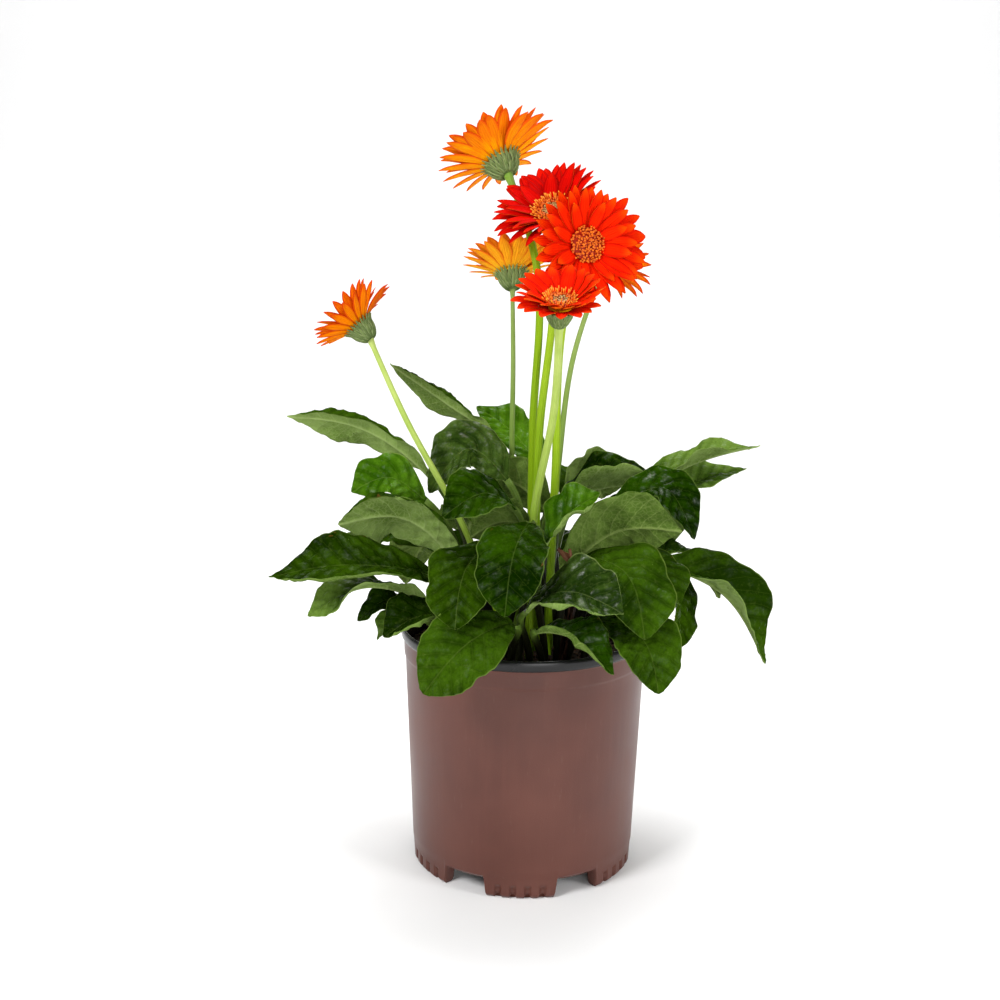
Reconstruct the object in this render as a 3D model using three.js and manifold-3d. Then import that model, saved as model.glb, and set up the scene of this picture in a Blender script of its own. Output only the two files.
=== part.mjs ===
// Potted gerbera: a clump of cupped, wavy leaves and seven flower heads on bare stalks,
// growing from potting soil in a plastic nursery pot that stands on six fluted feet.
// Millimetres. +Z is up, the ground is z = 0, the pot's axis is the z axis, and -Y is the front.

import * as THREE from 'three';
import { mergeVertices } from 'three/addons/utils/BufferGeometryUtils.js';
import Module from 'manifold-3d';

const wasm = await Module();
wasm.setup();

// ---------------------------------------------------------------- driving dimensions

const RIM_RADIUS = 81;
const POT_HEIGHT = 159;
const WALL_TOP_RADIUS = 79.1;
const WALL_FOOT_RADIUS = 73;
const WALL_THICKNESS = 1.8;
const FLOOR_RADIUS = 66.5;
const LIP_HEIGHT = 8;
const BAND_DROP = 19;            // the small step in the wall lies this far under the rim
const BAND_STEP = 0.8;
const POT_SEGMENTS = 36;

const FOOT_HEIGHT = 11.5;
const FOOT_COUNT = 6;
const FIRST_FOOT = -91.5;        // degrees, a little to the left of the front
const FOOT_HALF_ANGLE = 19;
const FOOT_DEPTH = 9;
const FOOT_SETBACK = 0.6;        // from the wall's foot in to the flutes
const FLUTES_PER_FOOT = 5;
const GROOVE_DEPTH = 1.6;
const GROOVE_HALF_ANGLE = 1.2;   // degrees
const DRAIN_RADIUS = 4.5;
const DRAIN_DISTANCE = 57;

const SOIL_DROP = 16;            // soil surface under the rim
const SOIL_ROUGHNESS = 1.6;
const FIT_GAP = 0.35;            // clearance where two pieces rest on one another

const ROOT_DEPTH = 7;            // how far stalks stand in their holes in the soil
const PETIOLE_HALF_WIDTH = 2.3;
const PETIOLE_DEPTH = 2.8;
const LEAF_EDGE = 0.8;           // leaf blade thickness
const MARGIN_WAVES = 2.2;        // waves of the leaf margin over the blade's length
const SCAPE_RADIUS = 2.5;
const SCAPE_FOOT = 1.08;         // how much thicker a flower stalk is at the soil
const PETAL_THICKNESS = 0.7;

const SOIL_TOP = POT_HEIGHT - SOIL_DROP;
const INNER_FOOT_RADIUS = WALL_FOOT_RADIUS - WALL_THICKNESS - 0.8;

// ---------------------------------------------------------------- materials

const paint = (color, roughness) => new THREE.MeshStandardMaterial({ color, roughness, metalness: 0 });

const material = {
  pot: paint(0x7d5348, 0.5),
  soil: paint(0x2b211b, 0.95),
  scape: paint(0x9bb457, 0.6),
  leafGloss: paint(0x2c5a1e, 0.35),
  leafFelt: paint(0x6f8a50, 0.8),
  petalRed: paint(0xf0280f, 0.6),
  petalOrange: paint(0xf58a1c, 0.6),
  disc: paint(0xc2701c, 0.8),
};

// ---------------------------------------------------------------- small helpers

const vec = (p) => new THREE.Vector3(p[0], p[1], p[2]);
const rad = THREE.MathUtils.degToRad;

// An even spread between -0.5 and 0.5 that is the same on every run.
const variation = (k) => ((k * 0.618034) % 1) - 0.5;

const polar = (radius, degrees) => [radius * Math.cos(rad(degrees)), radius * Math.sin(rad(degrees))];

function geometryFrom(vertices, triangles) {
  const geometry = new THREE.BufferGeometry();
  const flat = vertices.flatMap((v) => [v.x, v.y, v.z]);
  geometry.setAttribute('position', new THREE.Float32BufferAttribute(flat, 3));
  geometry.setIndex(triangles);
  return geometry;
}

function toSolid(geometry) {
  const bare = geometry.clone();
  bare.deleteAttribute('normal');
  bare.deleteAttribute('uv');
  const merged = mergeVertices(bare, 1e-4);
  return new wasm.Manifold(new wasm.Mesh({
    numProp: 3,
    vertProperties: new Float32Array(merged.attributes.position.array),
    triVerts: new Uint32Array(merged.index.array),
  }));
}

function toGeometry(solid) {
  const mesh = solid.getMesh();
  const geometry = new THREE.BufferGeometry();
  geometry.setAttribute('position', new THREE.Float32BufferAttribute(mesh.vertProperties, 3));
  geometry.setIndex([...mesh.triVerts]);
  return geometry;
}

const joined = (geometries) => geometries.map(toSolid).reduce((sum, next) => sum.add(next));

const fanCap = (count) => Array.from({ length: count - 2 }, (_, i) => [0, i + 1, i + 2]);

// The end of a flat strip whose ring goes along the top and back along the underside.
function stripCap(count) {
  const cap = [];
  for (let i = 0; i < count / 2 - 1; i++) {
    const under = count - 1 - i;
    cap.push([i, i + 1, under - 1]);
    cap.push([i, under - 1, under]);
  }
  return cap;
}

// Joins rings of points into one closed body. Rings run anticlockwise seen from the far end.
// flip(j) picks the diagonal of the quads in column j.
function skinRings(rings, flip = () => false, cap = fanCap) {
  const count = rings[0].length;
  const vertices = rings.flat();
  const triangles = [];
  for (let k = 0; k < rings.length - 1; k++) {
    for (let j = 0; j < count; j++) {
      const a = k * count + j;
      const b = k * count + (j + 1) % count;
      const c = b + count;
      const d = a + count;
      if (flip(j)) triangles.push(a, b, d, b, c, d);
      else triangles.push(a, b, c, a, c, d);
    }
  }
  const last = (rings.length - 1) * count;
  for (const [p, q, r] of cap(count)) {
    triangles.push(r, q, p);
    triangles.push(last + p, last + q, last + r);
  }
  return geometryFrom(vertices, triangles);
}

// A smooth curve through points: Hermite pieces whose slopes follow the neighbouring points.
// The first slope is turned upright by rise, as a stalk leaves the soil.
class StalkCurve {
  constructor(points, rise) {
    this.points = points.map(vec);
    this.knots = [0];
    for (let i = 1; i < points.length; i++) {
      this.knots.push(this.knots[i - 1] + this.points[i].distanceTo(this.points[i - 1]));
    }
    const last = points.length - 1;
    const upright = new THREE.Vector3(1 - rise, 1 - rise, 1);
    const chord = (i) => {
      const step = this.points[i + 1].clone().sub(this.points[i]);
      return step.divideScalar(this.knots[i + 1] - this.knots[i]);
    };
    this.slopes = [chord(0).multiply(upright).normalize()];
    for (let i = 1; i < last; i++) {
      const before = this.knots[i] - this.knots[i - 1];
      const after = this.knots[i + 1] - this.knots[i];
      this.slopes.push(chord(i - 1).lerp(chord(i), before / (before + after)));
    }
    const end = chord(last - 1).multiplyScalar(1.5);
    this.slopes.push(end.addScaledVector(this.slopes[last - 1], -0.5));
  }

  // The point and the direction at share s (0 to 1) of the stretch between knot i and knot i + 1.
  at(i, s) {
    const h = this.knots[i + 1] - this.knots[i];
    const [p, q] = [this.points[i], this.points[i + 1]];
    const [m, n] = [this.slopes[i], this.slopes[i + 1]];
    const s2 = s * s;
    const s3 = s2 * s;
    const point = p.clone().multiplyScalar(2 * s3 - 3 * s2 + 1)
      .addScaledVector(m, h * (s3 - 2 * s2 + s))
      .addScaledVector(q, 3 * s2 - 2 * s3)
      .addScaledVector(n, h * (s3 - s2));
    const direction = p.clone().multiplyScalar((6 * s2 - 6 * s) / h)
      .addScaledVector(m, 3 * s2 - 4 * s + 1)
      .addScaledVector(q, (6 * s - 6 * s2) / h)
      .addScaledVector(n, 3 * s2 - 2 * s)
      .normalize();
    return { at: point, direction };
  }
}

// ---------------------------------------------------------------- pot

function lathe(profile, segments) {
  const points = profile.map(([r, z]) => new THREE.Vector2(r, z));
  return new THREE.LatheGeometry(points, segments).rotateX(Math.PI / 2);
}

// The profile runs from the axis under the floor, up the outside, over the lip and down inside.
function potWall() {
  const floor = FOOT_HEIGHT;
  const bandTop = POT_HEIGHT - BAND_DROP;
  const lipFoot = POT_HEIGHT - LIP_HEIGHT;
  const profile = [
    [0, floor],
    [FLOOR_RADIUS, floor],
    [WALL_FOOT_RADIUS - 1, floor + 0.6],
    [WALL_FOOT_RADIUS, floor + 3],
    [WALL_TOP_RADIUS - BAND_STEP - 0.4, bandTop - 1],
    [WALL_TOP_RADIUS - 0.4, bandTop + 1],
    [WALL_TOP_RADIUS, lipFoot],
    [RIM_RADIUS - 0.5, lipFoot + 2],
    [RIM_RADIUS, POT_HEIGHT - 3],
    [RIM_RADIUS - 1.3, POT_HEIGHT],
    [RIM_RADIUS - 2.8, POT_HEIGHT - 1],
    [WALL_TOP_RADIUS - WALL_THICKNESS, lipFoot - 1],
    [INNER_FOOT_RADIUS, floor + 5],
    [FLOOR_RADIUS - 0.5, floor + WALL_THICKNESS],
    [0, floor + WALL_THICKNESS],
  ];
  return lathe(profile, POT_SEGMENTS);
}

// A foot's outline at height z: flutes parted by narrow grooves outside, a plain arc inside.
function footOutline(middle, z, inset, groove) {
  const outer = WALL_FOOT_RADIUS - FOOT_SETBACK - inset;
  const inner = WALL_FOOT_RADIUS - FOOT_DEPTH;
  const flute = (2 * FOOT_HALF_ANGLE) / FLUTES_PER_FOOT;
  const start = middle - FOOT_HALF_ANGLE;
  const outline = [polar(outer, start)];
  for (let i = 1; i < FLUTES_PER_FOOT; i++) {
    outline.push(polar(outer, start + i * flute - GROOVE_HALF_ANGLE));
    outline.push(polar(outer - groove, start + i * flute));
    outline.push(polar(outer, start + i * flute + GROOVE_HALF_ANGLE));
  }
  outline.push(polar(outer, middle + FOOT_HALF_ANGLE));
  for (const side of [1, 0, -1]) outline.push(polar(inner, middle + FOOT_HALF_ANGLE * side));
  return outline.map(([x, y]) => new THREE.Vector3(x, y, z));
}

// One foot: drawn in at the ground, with grooves that run out below the pot's wall, which its
// top end stands in.
function footGeometry(middle) {
  const rings = [
    footOutline(middle, 0, 2.5, GROOVE_DEPTH),
    footOutline(middle, 4, 0, GROOVE_DEPTH),
    footOutline(middle, FOOT_HEIGHT - 2, 0, 0),
    footOutline(middle, FOOT_HEIGHT + 1.2, 0.8, 0),
  ];
  const contour = rings[0].map((p) => new THREE.Vector2(p.x, p.y));
  return skinRings(rings, () => false, () => THREE.ShapeUtils.triangulateShape(contour, []));
}

function potGeometry() {
  const pitch = 360 / FOOT_COUNT;
  const feet = Array.from({ length: FOOT_COUNT }, (_, i) => footGeometry(FIRST_FOOT + i * pitch));
  let pot = joined([potWall(), ...feet]);
  const through = 4 * WALL_THICKNESS;
  for (let i = 0; i < FOOT_COUNT; i++) {
    const [x, y] = polar(DRAIN_DISTANCE, FIRST_FOOT + (i + 0.5) * pitch);
    const drill = new THREE.CylinderGeometry(DRAIN_RADIUS, DRAIN_RADIUS, through, 8);
    drill.rotateX(Math.PI / 2).translate(x, y, FOOT_HEIGHT);
    pot = pot.subtract(toSolid(drill));
  }
  return toGeometry(pot);
}

// ---------------------------------------------------------------- leaves

const BLADE_STEPS = 7;           // stations along a large blade
const SMALL_BLADE_STEPS = 5;
const SMALL_BLADE = 20.5;        // half-width under which a blade counts as small
const PETIOLE_STEPS = 2;         // stations along the leaf stalk above the soil
const PETIOLE_TAPER = 0.6;       // how much shallower the leaf stalk is at the blade
const TIP_HALF_WIDTH = 1.2;
const ACROSS = [-1, -0.5, 0, 0.5, 1];

// Half-width of the blade over its length t: wedge-shaped at the stalk, widest past the middle,
// and drawn to a tip by point, from 0 for a blunt one to 1 for a sharp one.
function bladeShape(t, point) {
  const oval = Math.sin(Math.PI * Math.min(t, 0.97) ** 1.3) ** 0.64;
  return oval * (1 - point * t ** 8);
}

// One ring of points across the leaf: along the top, then back along the underside.
// place: { at, direction, look }, with the midrib's point and direction and where the top looks
// form: { width, slope, lift, rib }, with the half-width, the rise of each half, the height
// that a share u across adds to it, and the depth of the rib under the blade
function leafRing({ at, direction, look }, { width, slope, lift, rib }) {
  const normal = look.clone().addScaledVector(direction, -look.dot(direction)).normalize();
  const side = direction.clone().cross(normal);
  const top = ACROSS.map((u) => {
    const rise = Math.abs(u) * width * Math.sin(slope) + lift(u);
    const offset = side.clone().multiplyScalar(u * width * Math.cos(slope));
    return at.clone().add(offset).addScaledVector(normal, rise);
  });
  const under = top.map((p, i) => {
    const reach = (ACROSS[i] * width) / (PETIOLE_HALF_WIDTH + 0.3);
    const depth = LEAF_EDGE / Math.cos(slope) + rib * Math.max(0, 1 - reach * reach);
    return p.clone().addScaledVector(normal, -depth);
  });
  return [...top, ...under.reverse()];
}

// One leaf from the soil to its tip, described by
//   root: [distance from the axis, angle in degrees] of its hole in the soil
//   neck, mid, tip: points on the midrib where the blade starts, half way and at its end
//   half: half the blade's width; point: how sharp its tip is
//   face: where the top of the blade looks at the neck; tipFace: the same at the tip
//   fold: rise of each half from the midrib in degrees; bow: how far the margins curl up
//   wave: height of the waves of the margin; phase: where they start
function leafGeometry(leaf) {
  const { root, neck, mid, tip, half, face, tipFace = face } = leaf;
  const { fold = 12, bow = 0, wave = 2.6, phase = 0, point = 0.4 } = leaf;
  const [x, y] = polar(root[0], root[1]);
  const inward = new THREE.Vector3(...polar(-1, root[1]), 0.2);
  const curve = new StalkCurve([[x, y, SOIL_TOP + 1], neck, mid, tip], 0.75);
  const up = new THREE.Vector3(0, 0, 1);
  const still = () => 0;

  const base = { at: new THREE.Vector3(x, y, SOIL_TOP - ROOT_DEPTH), direction: up, look: inward };
  const stalk = { width: PETIOLE_HALF_WIDTH, slope: 0, lift: still, rib: PETIOLE_DEPTH };
  const rings = [leafRing(base, stalk)];
  for (let k = 0; k < PETIOLE_STEPS; k++) {
    const s = k / PETIOLE_STEPS;
    const look = inward.clone().lerp(vec(face), s);
    rings.push(leafRing({ ...curve.at(0, s), look }, { ...stalk, rib: PETIOLE_DEPTH - PETIOLE_TAPER * s }));
  }

  const steps = half < SMALL_BLADE ? SMALL_BLADE_STEPS : BLADE_STEPS;
  for (let k = 0; k <= steps; k++) {
    const t = k / steps;
    const along = t < 0.5 ? curve.at(1, t * 2) : curve.at(2, t * 2 - 1);
    const spread = bladeShape(t, point);
    const narrowest = k === 0 ? PETIOLE_HALF_WIDTH : TIP_HALF_WIDTH;
    const lobes = 1 + 0.06 * Math.sin(17 * t + phase);
    const ripple = (u) => wave * Math.sin(2 * Math.PI * (MARGIN_WAVES * t + phase + 0.21 * Math.sign(u)));
    rings.push(leafRing({ ...along, look: vec(face).lerp(vec(tipFace), t) }, {
      width: Math.max(half * spread * lobes, narrowest),
      slope: rad(fold) * spread,
      lift: (u) => (bow + ripple(u)) * spread * u * u,
      rib: (PETIOLE_DEPTH - PETIOLE_TAPER) * (1 - t) ** 1.2,
    }));
  }

  // Quads are split from the midrib outward and forward, alike on the top and the underside.
  return skinRings(rings, (j) => [0, 1, 5, 6].includes(j), stripCap);
}

const LEAVES = {
  // high on the left, undersides to the front
  leaf_high_left: { root: [24, 180], neck: [-64, 14, 256], mid: [-108, 12, 286], tip: [-155, 12, 292],
    half: 20, point: 0.8, face: [0.15, 0.75, 0.65], fold: 8, bow: -3, phase: 0.1 },
  leaf_upper_left: { root: [30, 120], neck: [-22, 32, 278], mid: [-55, 38, 300], tip: [-91, 44, 323],
    half: 13, point: 0.9, face: [0.3, 0.8, 0.5], fold: 10, bow: -2, phase: 0.3 },
  leaf_upper_back: { root: [24, 95], neck: [10, 30, 252], mid: [-8, 52, 276], tip: [-34, 66, 292],
    half: 18, face: [0.1, -0.5, 0.85], phase: 0.5 },
  leaf_crumpled_left: { root: [12, 200], neck: [-13, 2, 254], mid: [-36, 4, 274], tip: [-63, 0, 245],
    half: 24, face: [-0.2, -0.45, 0.85], wave: 3.5, phase: 0.7 },
  leaf_round_left: { root: [31, 195], neck: [-64, -18, 244], mid: [-87, -24, 260], tip: [-110, -28, 251],
    half: 17, face: [-0.1, -0.65, 0.7], wave: 2, phase: 0.2 },

  // centre, behind the flower stalks, undersides to the front
  leaf_felt_centre: { root: [20, 75], neck: [14, 14, 230], mid: [-4, 13, 248], tip: [-33, 16, 257],
    half: 19, point: 0.9, face: [0.1, 1, 0.2], fold: 10, phase: 0.4 },
  leaf_felt_small: { root: [12, 255], neck: [3, -17, 229], mid: [-15, -21, 233], tip: [-36, -28, 223],
    half: 18, face: [0.15, 0.8, 0.6], fold: 10, phase: 0.7 },

  // left, large
  leaf_pale_left: { root: [28, 214], neck: [-43, -24, 206], mid: [-78, -33, 237], tip: [-117, -40, 233],
    half: 28, face: [0.3, 0.75, 0.55], fold: 10, bow: -3, phase: 0.9 },
  leaf_behind_left: { root: [38, 178], neck: [-58, 4, 208], mid: [-86, 6, 222], tip: [-111, 10, 215],
    half: 18, face: [-0.1, -0.6, 0.75], phase: 0.4 },
  leaf_long_left: { root: [37, 210], neck: [-51, -47, 199], mid: [-106, -68, 215], tip: [-157, -62, 205],
    half: 27, point: 0.9, face: [-0.1, -0.35, 0.9], fold: 14, phase: 0.6 },
  leaf_curled_left: { root: [44, 222], neck: [-62, -42, 186], mid: [-98, -56, 199], tip: [-134, -60, 180],
    half: 21, face: [0.2, 0.55, 0.8], tipFace: [-0.6, -0.5, 0.6], fold: 12, phase: 0.15 },
  leaf_grey_left: { root: [50, 210], neck: [-68, -42, 178], mid: [-86, -52, 189], tip: [-104, -56, 176],
    half: 11, face: [-0.3, -0.5, 0.8], phase: 0.8 },
  leaf_narrow_left: { root: [52, 196], neck: [-66, -22, 174], mid: [-82, -24, 172], tip: [-95, -24, 154],
    half: 9, face: [-0.4, -0.5, 0.8], phase: 0.35 },
  leaf_rim_left: { root: [42, 236], neck: [-44, -58, 180], mid: [-66, -74, 185], tip: [-86, -82, 174],
    half: 17, face: [-0.2, -0.5, 0.85], fold: 16, bow: 2, phase: 0.65 },

  // front
  leaf_olive_front: { root: [33, 240], neck: [-22, -46, 224], mid: [-38, -78, 214], tip: [-43, -98, 184],
    half: 22, point: 0.1, face: [-0.3, -0.8, 0.5], phase: 0.1 },
  leaf_dark_front: { root: [22, 236], neck: [-7, -37, 244], mid: [-27, -54, 257], tip: [-52, -60, 243],
    half: 22, point: 0.25, face: [-0.1, -0.5, 0.85], phase: 0.55 },
  leaf_centre_front: { root: [30, 262], neck: [0, -58, 240], mid: [-9, -88, 228], tip: [-14, -108, 195],
    half: 22, point: 0.25, face: [-0.15, -0.85, 0.5], fold: 14, phase: 0.3 },
  leaf_small_front: { root: [32, 292], neck: [9, -56, 226], mid: [22, -64, 246], tip: [42, -66, 260],
    half: 16, face: [-0.2, -0.55, 0.8], fold: 24, phase: 0.75 },
  leaf_silver_front: { root: [36, 274], neck: [-2, -74, 190], mid: [25, -101, 209], tip: [54, -115, 200],
    half: 24, point: 0.75, face: [0, -0.55, 0.85], fold: 10, bow: 2, wave: 3, phase: 0.45 },
  leaf_low_front: { root: [42, 284], neck: [6, -74, 178], mid: [28, -98, 180], tip: [50, -108, 161],
    half: 17, point: 0.7, face: [0.25, -0.4, 0.85], fold: 30, phase: 0.2 },
  leaf_over_rim_front: { root: [42, 257], neck: [-8, -70, 180], mid: [-36, -100, 176],
    tip: [-61, -106, 147], half: 24, point: 0.1, face: [-0.25, -0.8, 0.5], fold: 8, phase: 0.85 },
  leaf_ribbed_front: { root: [36, 302], neck: [34, -48, 216], mid: [58, -76, 214], tip: [68, -103, 181],
    half: 26, point: 0.15, face: [0.35, -0.7, 0.6], phase: 0.6 },
  leaf_over_rim_right: { root: [43, 306], neck: [42, -62, 180], mid: [69, -90, 176], tip: [77, -104, 148],
    half: 22, point: 0.3, face: [0.4, -0.75, 0.5], fold: 10, phase: 0.25 },

  // right
  leaf_pale_right: { root: [27, 318], neck: [24, -36, 205], mid: [55, -42, 232], tip: [94, -48, 233],
    half: 28, point: 0.7, face: [-0.2, 0.85, 0.45], fold: 10, bow: -2, phase: 0.5 },
  leaf_gloss_right: { root: [28, 332], neck: [52, -20, 238], mid: [84, -26, 256], tip: [103, -40, 226],
    half: 19, face: [0.4, -0.5, 0.75], phase: 0.05 },
  leaf_hidden_right: { root: [44, 325], neck: [60, -34, 196], mid: [80, -44, 208], tip: [94, -54, 188],
    half: 18, face: [0.4, -0.5, 0.75], phase: 0.7 },
  leaf_grey_right: { root: [48, 342], neck: [71, -19, 187], mid: [93, -26, 187], tip: [94, -42, 155],
    half: 22, point: 0.1, face: [0.8, -0.4, 0.3], phase: 0.4 },
  leaf_drooping_right: { root: [38, 350], neck: [80, -8, 201], mid: [123, -13, 188], tip: [155, -18, 139],
    half: 27, point: 0.55, face: [0, -0.2, 0.98], tipFace: [0.75, -0.4, 0.5], fold: 38, phase: 0.95 },
  leaf_cupped_right: { root: [18, 20], neck: [18, 8, 238], mid: [48, 6, 250], tip: [87, 5, 251],
    half: 24, face: [0, -0.1, 1], fold: 46, phase: 0.3 },
  leaf_light_right: { root: [29, 10], neck: [66, 18, 238], mid: [108, 27, 262], tip: [154, 34, 273],
    half: 18, point: 0.9, face: [-0.1, 0, 1], fold: 28, phase: 0.8 },
  leaf_light_under: { root: [38, 14], neck: [70, 22, 225], mid: [106, 29, 247], tip: [146, 36, 257],
    half: 18, point: 0.9, face: [0, -0.3, 1], fold: 18, phase: 0.15 },
  leaf_olive_back: { root: [29, 38], neck: [26, 27, 238], mid: [40, 32, 254], tip: [60, 37, 261],
    half: 15, face: [-0.1, 0.8, 0.5], phase: 0.45 },

  // back
  leaf_back_right: { root: [30, 62], neck: [28, 48, 224], mid: [45, 82, 244], tip: [56, 114, 219],
    half: 26, face: [0.1, 0.4, 0.9], phase: 0.6 },
  leaf_back_low: { root: [44, 84], neck: [12, 58, 178], mid: [17, 95, 196], tip: [21, 123, 160],
    half: 27, face: [0, 0.5, 0.85], phase: 0.35 },
  leaf_back_left: { root: [32, 110], neck: [-18, 42, 198], mid: [-31, 78, 218], tip: [-42, 113, 190],
    half: 26, face: [-0.1, 0.4, 0.9], phase: 0.8 },
};

// Pairs of leaves that grow from one base and form one body.
const LEAF_PAIRS = {
  leaf_pair_right: [
    { root: [40, 37], neck: [48, 42, 206], mid: [80, 70, 222], tip: [104, 96, 190],
      half: 27, face: [0.3, 0.3, 0.9], phase: 0.1 },
    { root: [40, 33.5], neck: [68, 30, 184], mid: [108, 48, 198], tip: [136, 62, 160],
      half: 24, face: [0.3, 0.2, 0.9], phase: 0.5 },
  ],
  leaf_pair_left: [
    { root: [42, 134], neck: [-38, 50, 176], mid: [-67, 82, 194], tip: [-85, 106, 156],
      half: 26, face: [-0.3, 0.4, 0.85], phase: 0.2 },
    { root: [42, 137.5], neck: [-50, 34, 194], mid: [-92, 55, 209], tip: [-128, 70, 180],
      half: 26, face: [-0.2, 0.2, 0.95], phase: 0.7 },
  ],
};

// ---------------------------------------------------------------- flower heads

const PLATE_TOP = 1.5;           // the plate that carries the petals, on both sides of z = 0
const PLATE_BOTTOM = -1.1;
const PETAL_BEND = 10;           // degrees by which a petal's two halves turn up and back
const CUP_DEPTH = 12;            // green cup under the plate
const CUP_RELIEF = 0.5;
const DISC_HEIGHT = 4.5;
const DISC_RELIEF = 0.5;

// One whorl of petals around a flat plate: every petal grows out of one side of the plate.
// Each is a bent strip, narrow at the plate, with a pointed tip. Layer 0 is the outer whorl.
function whorlGeometry(head, layer) {
  const plateRadius = head.radius * (layer ? 0.2 : 0.22);
  const [low, high] = layer ? [0.1, PLATE_TOP] : [PLATE_BOTTOM, 0.3];
  const middle = (low + high) / 2;
  const pitch = 360 / head.petals;
  const plateHalfSide = plateRadius * Math.tan(rad(pitch / 2));
  const vertices = [new THREE.Vector3(0, 0, low), new THREE.Vector3(0, 0, high)];
  const triangles = [];

  // Adds the point that lies this far out, across and up, seen along a petal turned by angle.
  const corner = (out, across, height, angle) => {
    const x = out * Math.cos(angle) - across * Math.sin(angle);
    const y = out * Math.sin(angle) + across * Math.cos(angle);
    vertices.push(new THREE.Vector3(x, y, height));
  };

  for (let k = 0; k < head.petals; k++) {
    const seed = k + 31 * layer + 7 * head.seed;
    const angle = rad((k + 0.5 * layer) * pitch);
    const swing = rad(6) * variation(seed);
    const fullLength = (head.radius - plateRadius) * (layer ? 0.93 : 1);
    const length = fullLength * (1 + 0.12 * variation(seed + 3));
    const elevation = rad(head.cup + 10 * layer + 4 * variation(seed + 5));
    const halfWidth = head.radius * 0.1 * (1 + 0.15 * variation(seed + 8));

    const start = new THREE.Vector2(plateRadius, middle);
    const stretch = (tilt) => polar(length / 2, THREE.MathUtils.radToDeg(elevation) + tilt);
    const knee = new THREE.Vector2(...stretch(PETAL_BEND)).add(start);
    const end = new THREE.Vector2(...stretch(-PETAL_BEND)).add(knee);
    const curve = new THREE.QuadraticBezierCurve(start, knee, end);

    const base = vertices.length;
    corner(plateRadius, plateHalfSide, high, angle);
    corner(plateRadius, -plateHalfSide, high, angle);
    corner(plateRadius, -plateHalfSide, low, angle);
    corner(plateRadius, plateHalfSide, low, angle);
    const lift = PETAL_THICKNESS / 2;
    for (const [share, width] of [[0.4, 0.8], [0.8, 1]]) {
      const at = curve.getPoint(share);
      const along = curve.getTangent(share).multiplyScalar(lift);
      for (const [side, up] of [[1, 1], [-1, 1], [-1, -1], [1, -1]]) {
        const across = side * width * halfWidth;
        corner(at.x - up * along.y, across, at.y + up * along.x, angle + swing * share);
      }
    }
    corner(end.x, 0, end.y + lift, angle + swing);
    corner(end.x, 0, end.y - lift, angle + swing);

    for (let ring = 0; ring < 2; ring++) {
      for (let j = 0; j < 4; j++) {
        const p = base + 4 * ring + j;
        const q = base + 4 * ring + ((j + 1) % 4);
        if (j === 2) triangles.push(p, q, p + 4, q, q + 4, p + 4);
        else triangles.push(p, q, q + 4, p, q + 4, p + 4);
      }
    }
    const wide = base + 8;
    const over = base + 12;
    const under = base + 13;
    triangles.push(wide, wide + 1, over);
    triangles.push(wide + 2, wide + 3, under);
    triangles.push(wide + 1, wide + 2, under, wide + 1, under, over);
    triangles.push(wide + 3, wide, over, wide + 3, over, under);
    triangles.push(1, base + 1, base);
    triangles.push(0, base + 3, base + 2);
  }
  return geometryFrom(vertices, triangles);
}

const raysGeometry = (head) => toGeometry(joined([whorlGeometry(head, 0), whorlGeometry(head, 1)]));

// The disc of small florets: a low dome whose rings of points stand alternately up and down.
function discGeometry(head) {
  const radius = head.radius * 0.19;
  const columns = 12;
  const rows = 3;
  const base = PLATE_TOP + FIT_GAP;
  const vertices = [new THREE.Vector3(0, 0, base)];
  for (let row = 0; row <= rows; row++) {
    for (let j = 0; j < columns; j++) {
      const share = row === 0 ? 1 : 1 - (row - 1) / rows;
      const stud = (j + row) % 2 ? DISC_RELIEF : -DISC_RELIEF;
      const dome = 1.2 + stud + (DISC_HEIGHT - 2) * (1 - share ** 2);
      const [x, y] = polar(radius * share, (j + 0.5 * row) * (360 / columns));
      vertices.push(new THREE.Vector3(x, y, base + (row === 0 ? 0 : dome)));
    }
  }
  vertices.push(new THREE.Vector3(0, 0, base + DISC_HEIGHT - 1.2));
  const triangles = [];
  const top = vertices.length - 1;
  for (let j = 0; j < columns; j++) {
    const next = (j + 1) % columns;
    triangles.push(0, 1 + next, 1 + j);
    for (let row = 0; row < rows; row++) {
      const a = 1 + row * columns + j;
      const b = 1 + row * columns + next;
      triangles.push(a, b, b + columns, a, b + columns, a + columns);
    }
    triangles.push(1 + rows * columns + j, 1 + rows * columns + next, top);
  }
  return geometryFrom(vertices, triangles);
}

// The cup of overlapping green bracts: rows of points that alternate in and out.
function cupGeometry(head) {
  const radius = head.radius * 0.24;
  const columns = 12;
  const profile = [
    [0.3, -CUP_DEPTH],
    [0.62, -CUP_DEPTH * 0.8],
    [0.9, -CUP_DEPTH * 0.5],
    [1, PLATE_BOTTOM - 2],
    [0.92, PLATE_BOTTOM - FIT_GAP],
  ];
  const rings = profile.map(([share, z], row) => Array.from({ length: columns }, (_, j) => {
    const bulge = (j + row) % 2 ? CUP_RELIEF : -CUP_RELIEF;
    const relief = row === 0 || row === profile.length - 1 ? 0 : bulge;
    const [x, y] = polar(radius * share + relief, j * (360 / columns));
    return new THREE.Vector3(x, y, z);
  }));
  return skinRings(rings, (j) => j % 2 === 0);
}

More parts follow.
